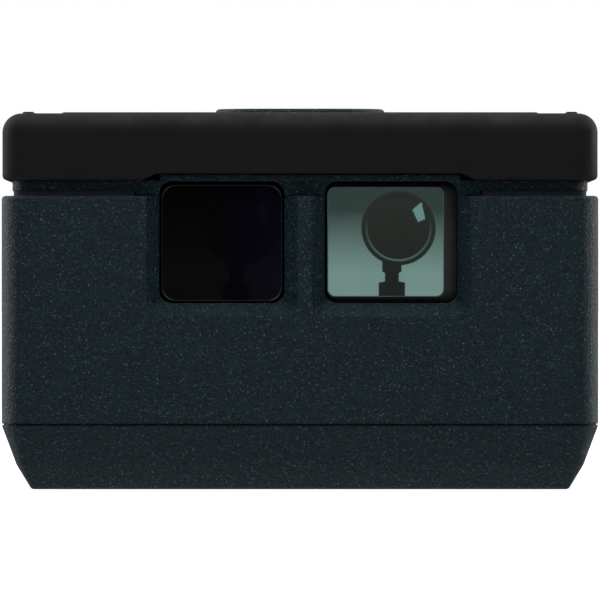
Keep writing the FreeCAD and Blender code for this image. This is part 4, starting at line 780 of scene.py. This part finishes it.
def floor():
    """Pale floor that stays nearly white under the object; from below it isn't there."""
    shader = Shader("pale_floor", Base_Color=(0.80, 0.80, 0.80, 1), Emission_Color=(1, 1, 1, 1),
                    Emission_Strength=0.78)
    shader.rough(shader.map(shader.noise(40, 2), 0.3, 0.7, 0.7, 0.8))
    sides = shader.node("ShaderNodeMixShader")
    shader.feed(sides.inputs[0], shader.node("ShaderNodeNewGeometry").outputs["Backfacing"])
    shader.feed(sides.inputs[1], shader.surface.outputs["BSDF"])
    shader.feed(sides.inputs[2], shader.node("ShaderNodeBsdfTransparent").outputs["BSDF"])
    shader.feed(shader.tree.nodes["Material Output"].inputs["Surface"], sides.outputs["Shader"])
    mesh = bpy.data.meshes.new("floor")
    square = ((-1, -1), (1, -1), (1, 1), (-1, 1))
    mesh.from_pydata([(x * FLOOR_REACH, y * FLOOR_REACH, FLOOR_LEVEL) for x, y in square], [], [(0, 1, 2, 3)])
    mesh.materials.append(shader.material)
    plane = bpy.data.objects.new("floor", mesh)
    bpy.context.scene.collection.objects.link(plane)
    plane.visible_diffuse = False
    plane.visible_glossy = False


def world():
    """White studio to the eye; for light and reflections, dim at eye level and brighter overhead."""
    made = bpy.data.worlds.new("studio")
    bpy.context.scene.world = made
    made.use_nodes = True
    nodes, links = made.node_tree.nodes, made.node_tree.links
    background = nodes["Background"]
    place = nodes.new("ShaderNodeTexCoord")
    parts = nodes.new("ShaderNodeSeparateXYZ")
    links.new(place.outputs["Generated"], parts.inputs[0])
    ramp = nodes.new("ShaderNodeValToRGB")
    stops = ramp.color_ramp.elements
    stops[0].position, stops[0].color = 0.05, (0.98, 0.99, 1.0, 1)
    stops[1].position, stops[1].color = 0.95, (0.60, 0.61, 0.63, 1)
    for position in (0.36, 0.60):
        middle = stops.new(position)
        middle.color = (0.13, 0.135, 0.14, 1)
    height = nodes.new("ShaderNodeMapRange")
    height.inputs["From Min"].default_value = -1.0
    links.new(parts.outputs["Z"], height.inputs["Value"])
    links.new(height.outputs["Result"], ramp.inputs[0])
    eye = nodes.new("ShaderNodeLightPath")
    mix = nodes.new("ShaderNodeMix")
    mix.data_type = "RGBA"
    links.new(eye.outputs["Is Camera Ray"], mix.inputs["Factor"])
    links.new(ramp.outputs["Color"], mix.inputs[6])
    mix.inputs[7].default_value = (1, 1, 1, 1)
    links.new(mix.outputs[2], background.inputs["Color"])


def area_light(name, place, aim, size, power):
    """Soft box that lights the object but isn't seen itself."""
    data = bpy.data.lights.new(name, "AREA")
    data.shape = "RECTANGLE"
    data.size, data.size_y = size
    data.energy = power
    light = bpy.data.objects.new(name, data)
    bpy.context.scene.collection.objects.link(light)
    light.location = place
    light.rotation_mode = "QUATERNION"
    light.rotation_quaternion = (Vector(aim) - Vector(place)).to_track_quat("-Z", "Y")
    light.visible_camera = False


def studio_lights():
    """Overhead box, two side boxes a little behind, and two small lamps either side in front."""
    low, high = CAD_BOX
    middle = (low + high) / 2
    area_light("overhead", middle + Vector((0, -0.08, 0.45)), middle, (0.45, 0.45), 1.7)
    for side in (-1, 1):
        box = middle + Vector((0.40 * side, 0.30, 0.12))
        lamp = middle + Vector((0.50 * side, -0.55, 0.16))
        area_light(f"side_{side + 1}", box, middle, (0.25, 0.35), 1.3)
        area_light(f"key_{side + 1}", lamp, middle, (0.022, 0.022), 0.07)


def camera():
    """Long lens square to the lens end, level with the middle of its height."""
    low, high = CAD_BOX
    data = bpy.data.cameras.new("camera")
    data.sensor_width = SENSOR_WIDTH
    data.lens = SENSOR_WIDTH * EYE_DISTANCE / ((high.x - low.x) * FRAME_MARGIN)
    data.clip_start, data.clip_end = 0.01, 50.0
    eye = bpy.data.objects.new("camera", data)
    bpy.context.scene.collection.objects.link(eye)
    eye.location = (0.0, low.y - EYE_DISTANCE, low.z + EYE_HEIGHT)
    eye.rotation_euler = (math.pi / 2, 0, 0)
    bpy.context.scene.camera = eye


def glow(name, strength_low, strength_high, low, high, colour=(1, 1, 1)):
    """Plain emitter that fades from one strength to another with height."""
    shader = Shader(name, Base_Color=(0, 0, 0, 1), Specular_IOR_Level=0.0, Emission_Color=(*colour, 1))
    height = shader.node("ShaderNodeSeparateXYZ", Vector=shader.place).outputs["Z"]
    shader.feed(shader.surface.inputs["Emission Strength"],
                shader.map(height, low, high, strength_low, strength_high))
    return shader.material


def flat_shape(name, outline, depth, material):
    """Upright stage card with the given outline, seen only in reflections."""
    mesh = bpy.data.meshes.new(name)
    mesh.from_pydata([(x, depth, z) for x, z in outline], [], [tuple(range(len(outline)))])
    mesh.materials.append(material)
    card = bpy.data.objects.new(name, mesh)
    bpy.context.scene.collection.objects.link(card)
    card.visible_camera = False
    card.visible_diffuse = False
    card.visible_shadow = False


def studio_cards():
    """White card behind the eye point, a dark round flag on its stand before it, and a small bright card."""
    back = CAD_BOX[0].y - EYE_DISTANCE - CARD_BEHIND
    white = glow("white_card", 0.66, 0.12, -0.03, 0.07)
    flag = glow("dark_flag", 0.055, 0.090, -0.04, 0.09, (1.0, 0.76, 0.74))
    trim = glow("flag_trim", 0.42, 0.06, -0.04, 0.06)
    lamp = glow("window_card", 0.62, 0.62, 0.0, 0.1, (0.85, 1.0, 1.0))
    square = [(x * CARD_HALF, z * CARD_HALF) for x, z in ((-1, -1), (1, -1), (1, 1), (-1, 1))]
    flat_shape("card", square, back, white)
    for name, radius, ahead, finish in (("flag_disc", FLAG_RADIUS, FLAG_AHEAD, flag),
                                        ("flag_ring", RING_RADIUS, RING_AHEAD, trim),
                                        ("flag_middle", MIDDLE_RADIUS, MIDDLE_AHEAD, flag)):
        flat_shape(name, circle(FLAG_CENTRE, radius, CARD_CORNERS), back + ahead, finish)
    stand = [(STAND_MIDDLE + half, z) for half, z in STAND_PROFILE]
    stand += [(STAND_MIDDLE - half, z) for half, z in reversed(STAND_PROFILE)]
    flat_shape("flag_stand", stand, back + STAND_AHEAD, flag)
    flat_shape("lamp_card", LAMP_CORNERS, back + LAMP_AHEAD, lamp)


finishes = paint_frame()
window_pieces(finishes)
display_ink(finishes)
key_marks(finishes)
floor()
world()
studio_lights()
studio_cards()
camera()
bpy.context.scene.view_settings.view_transform = "Standard"
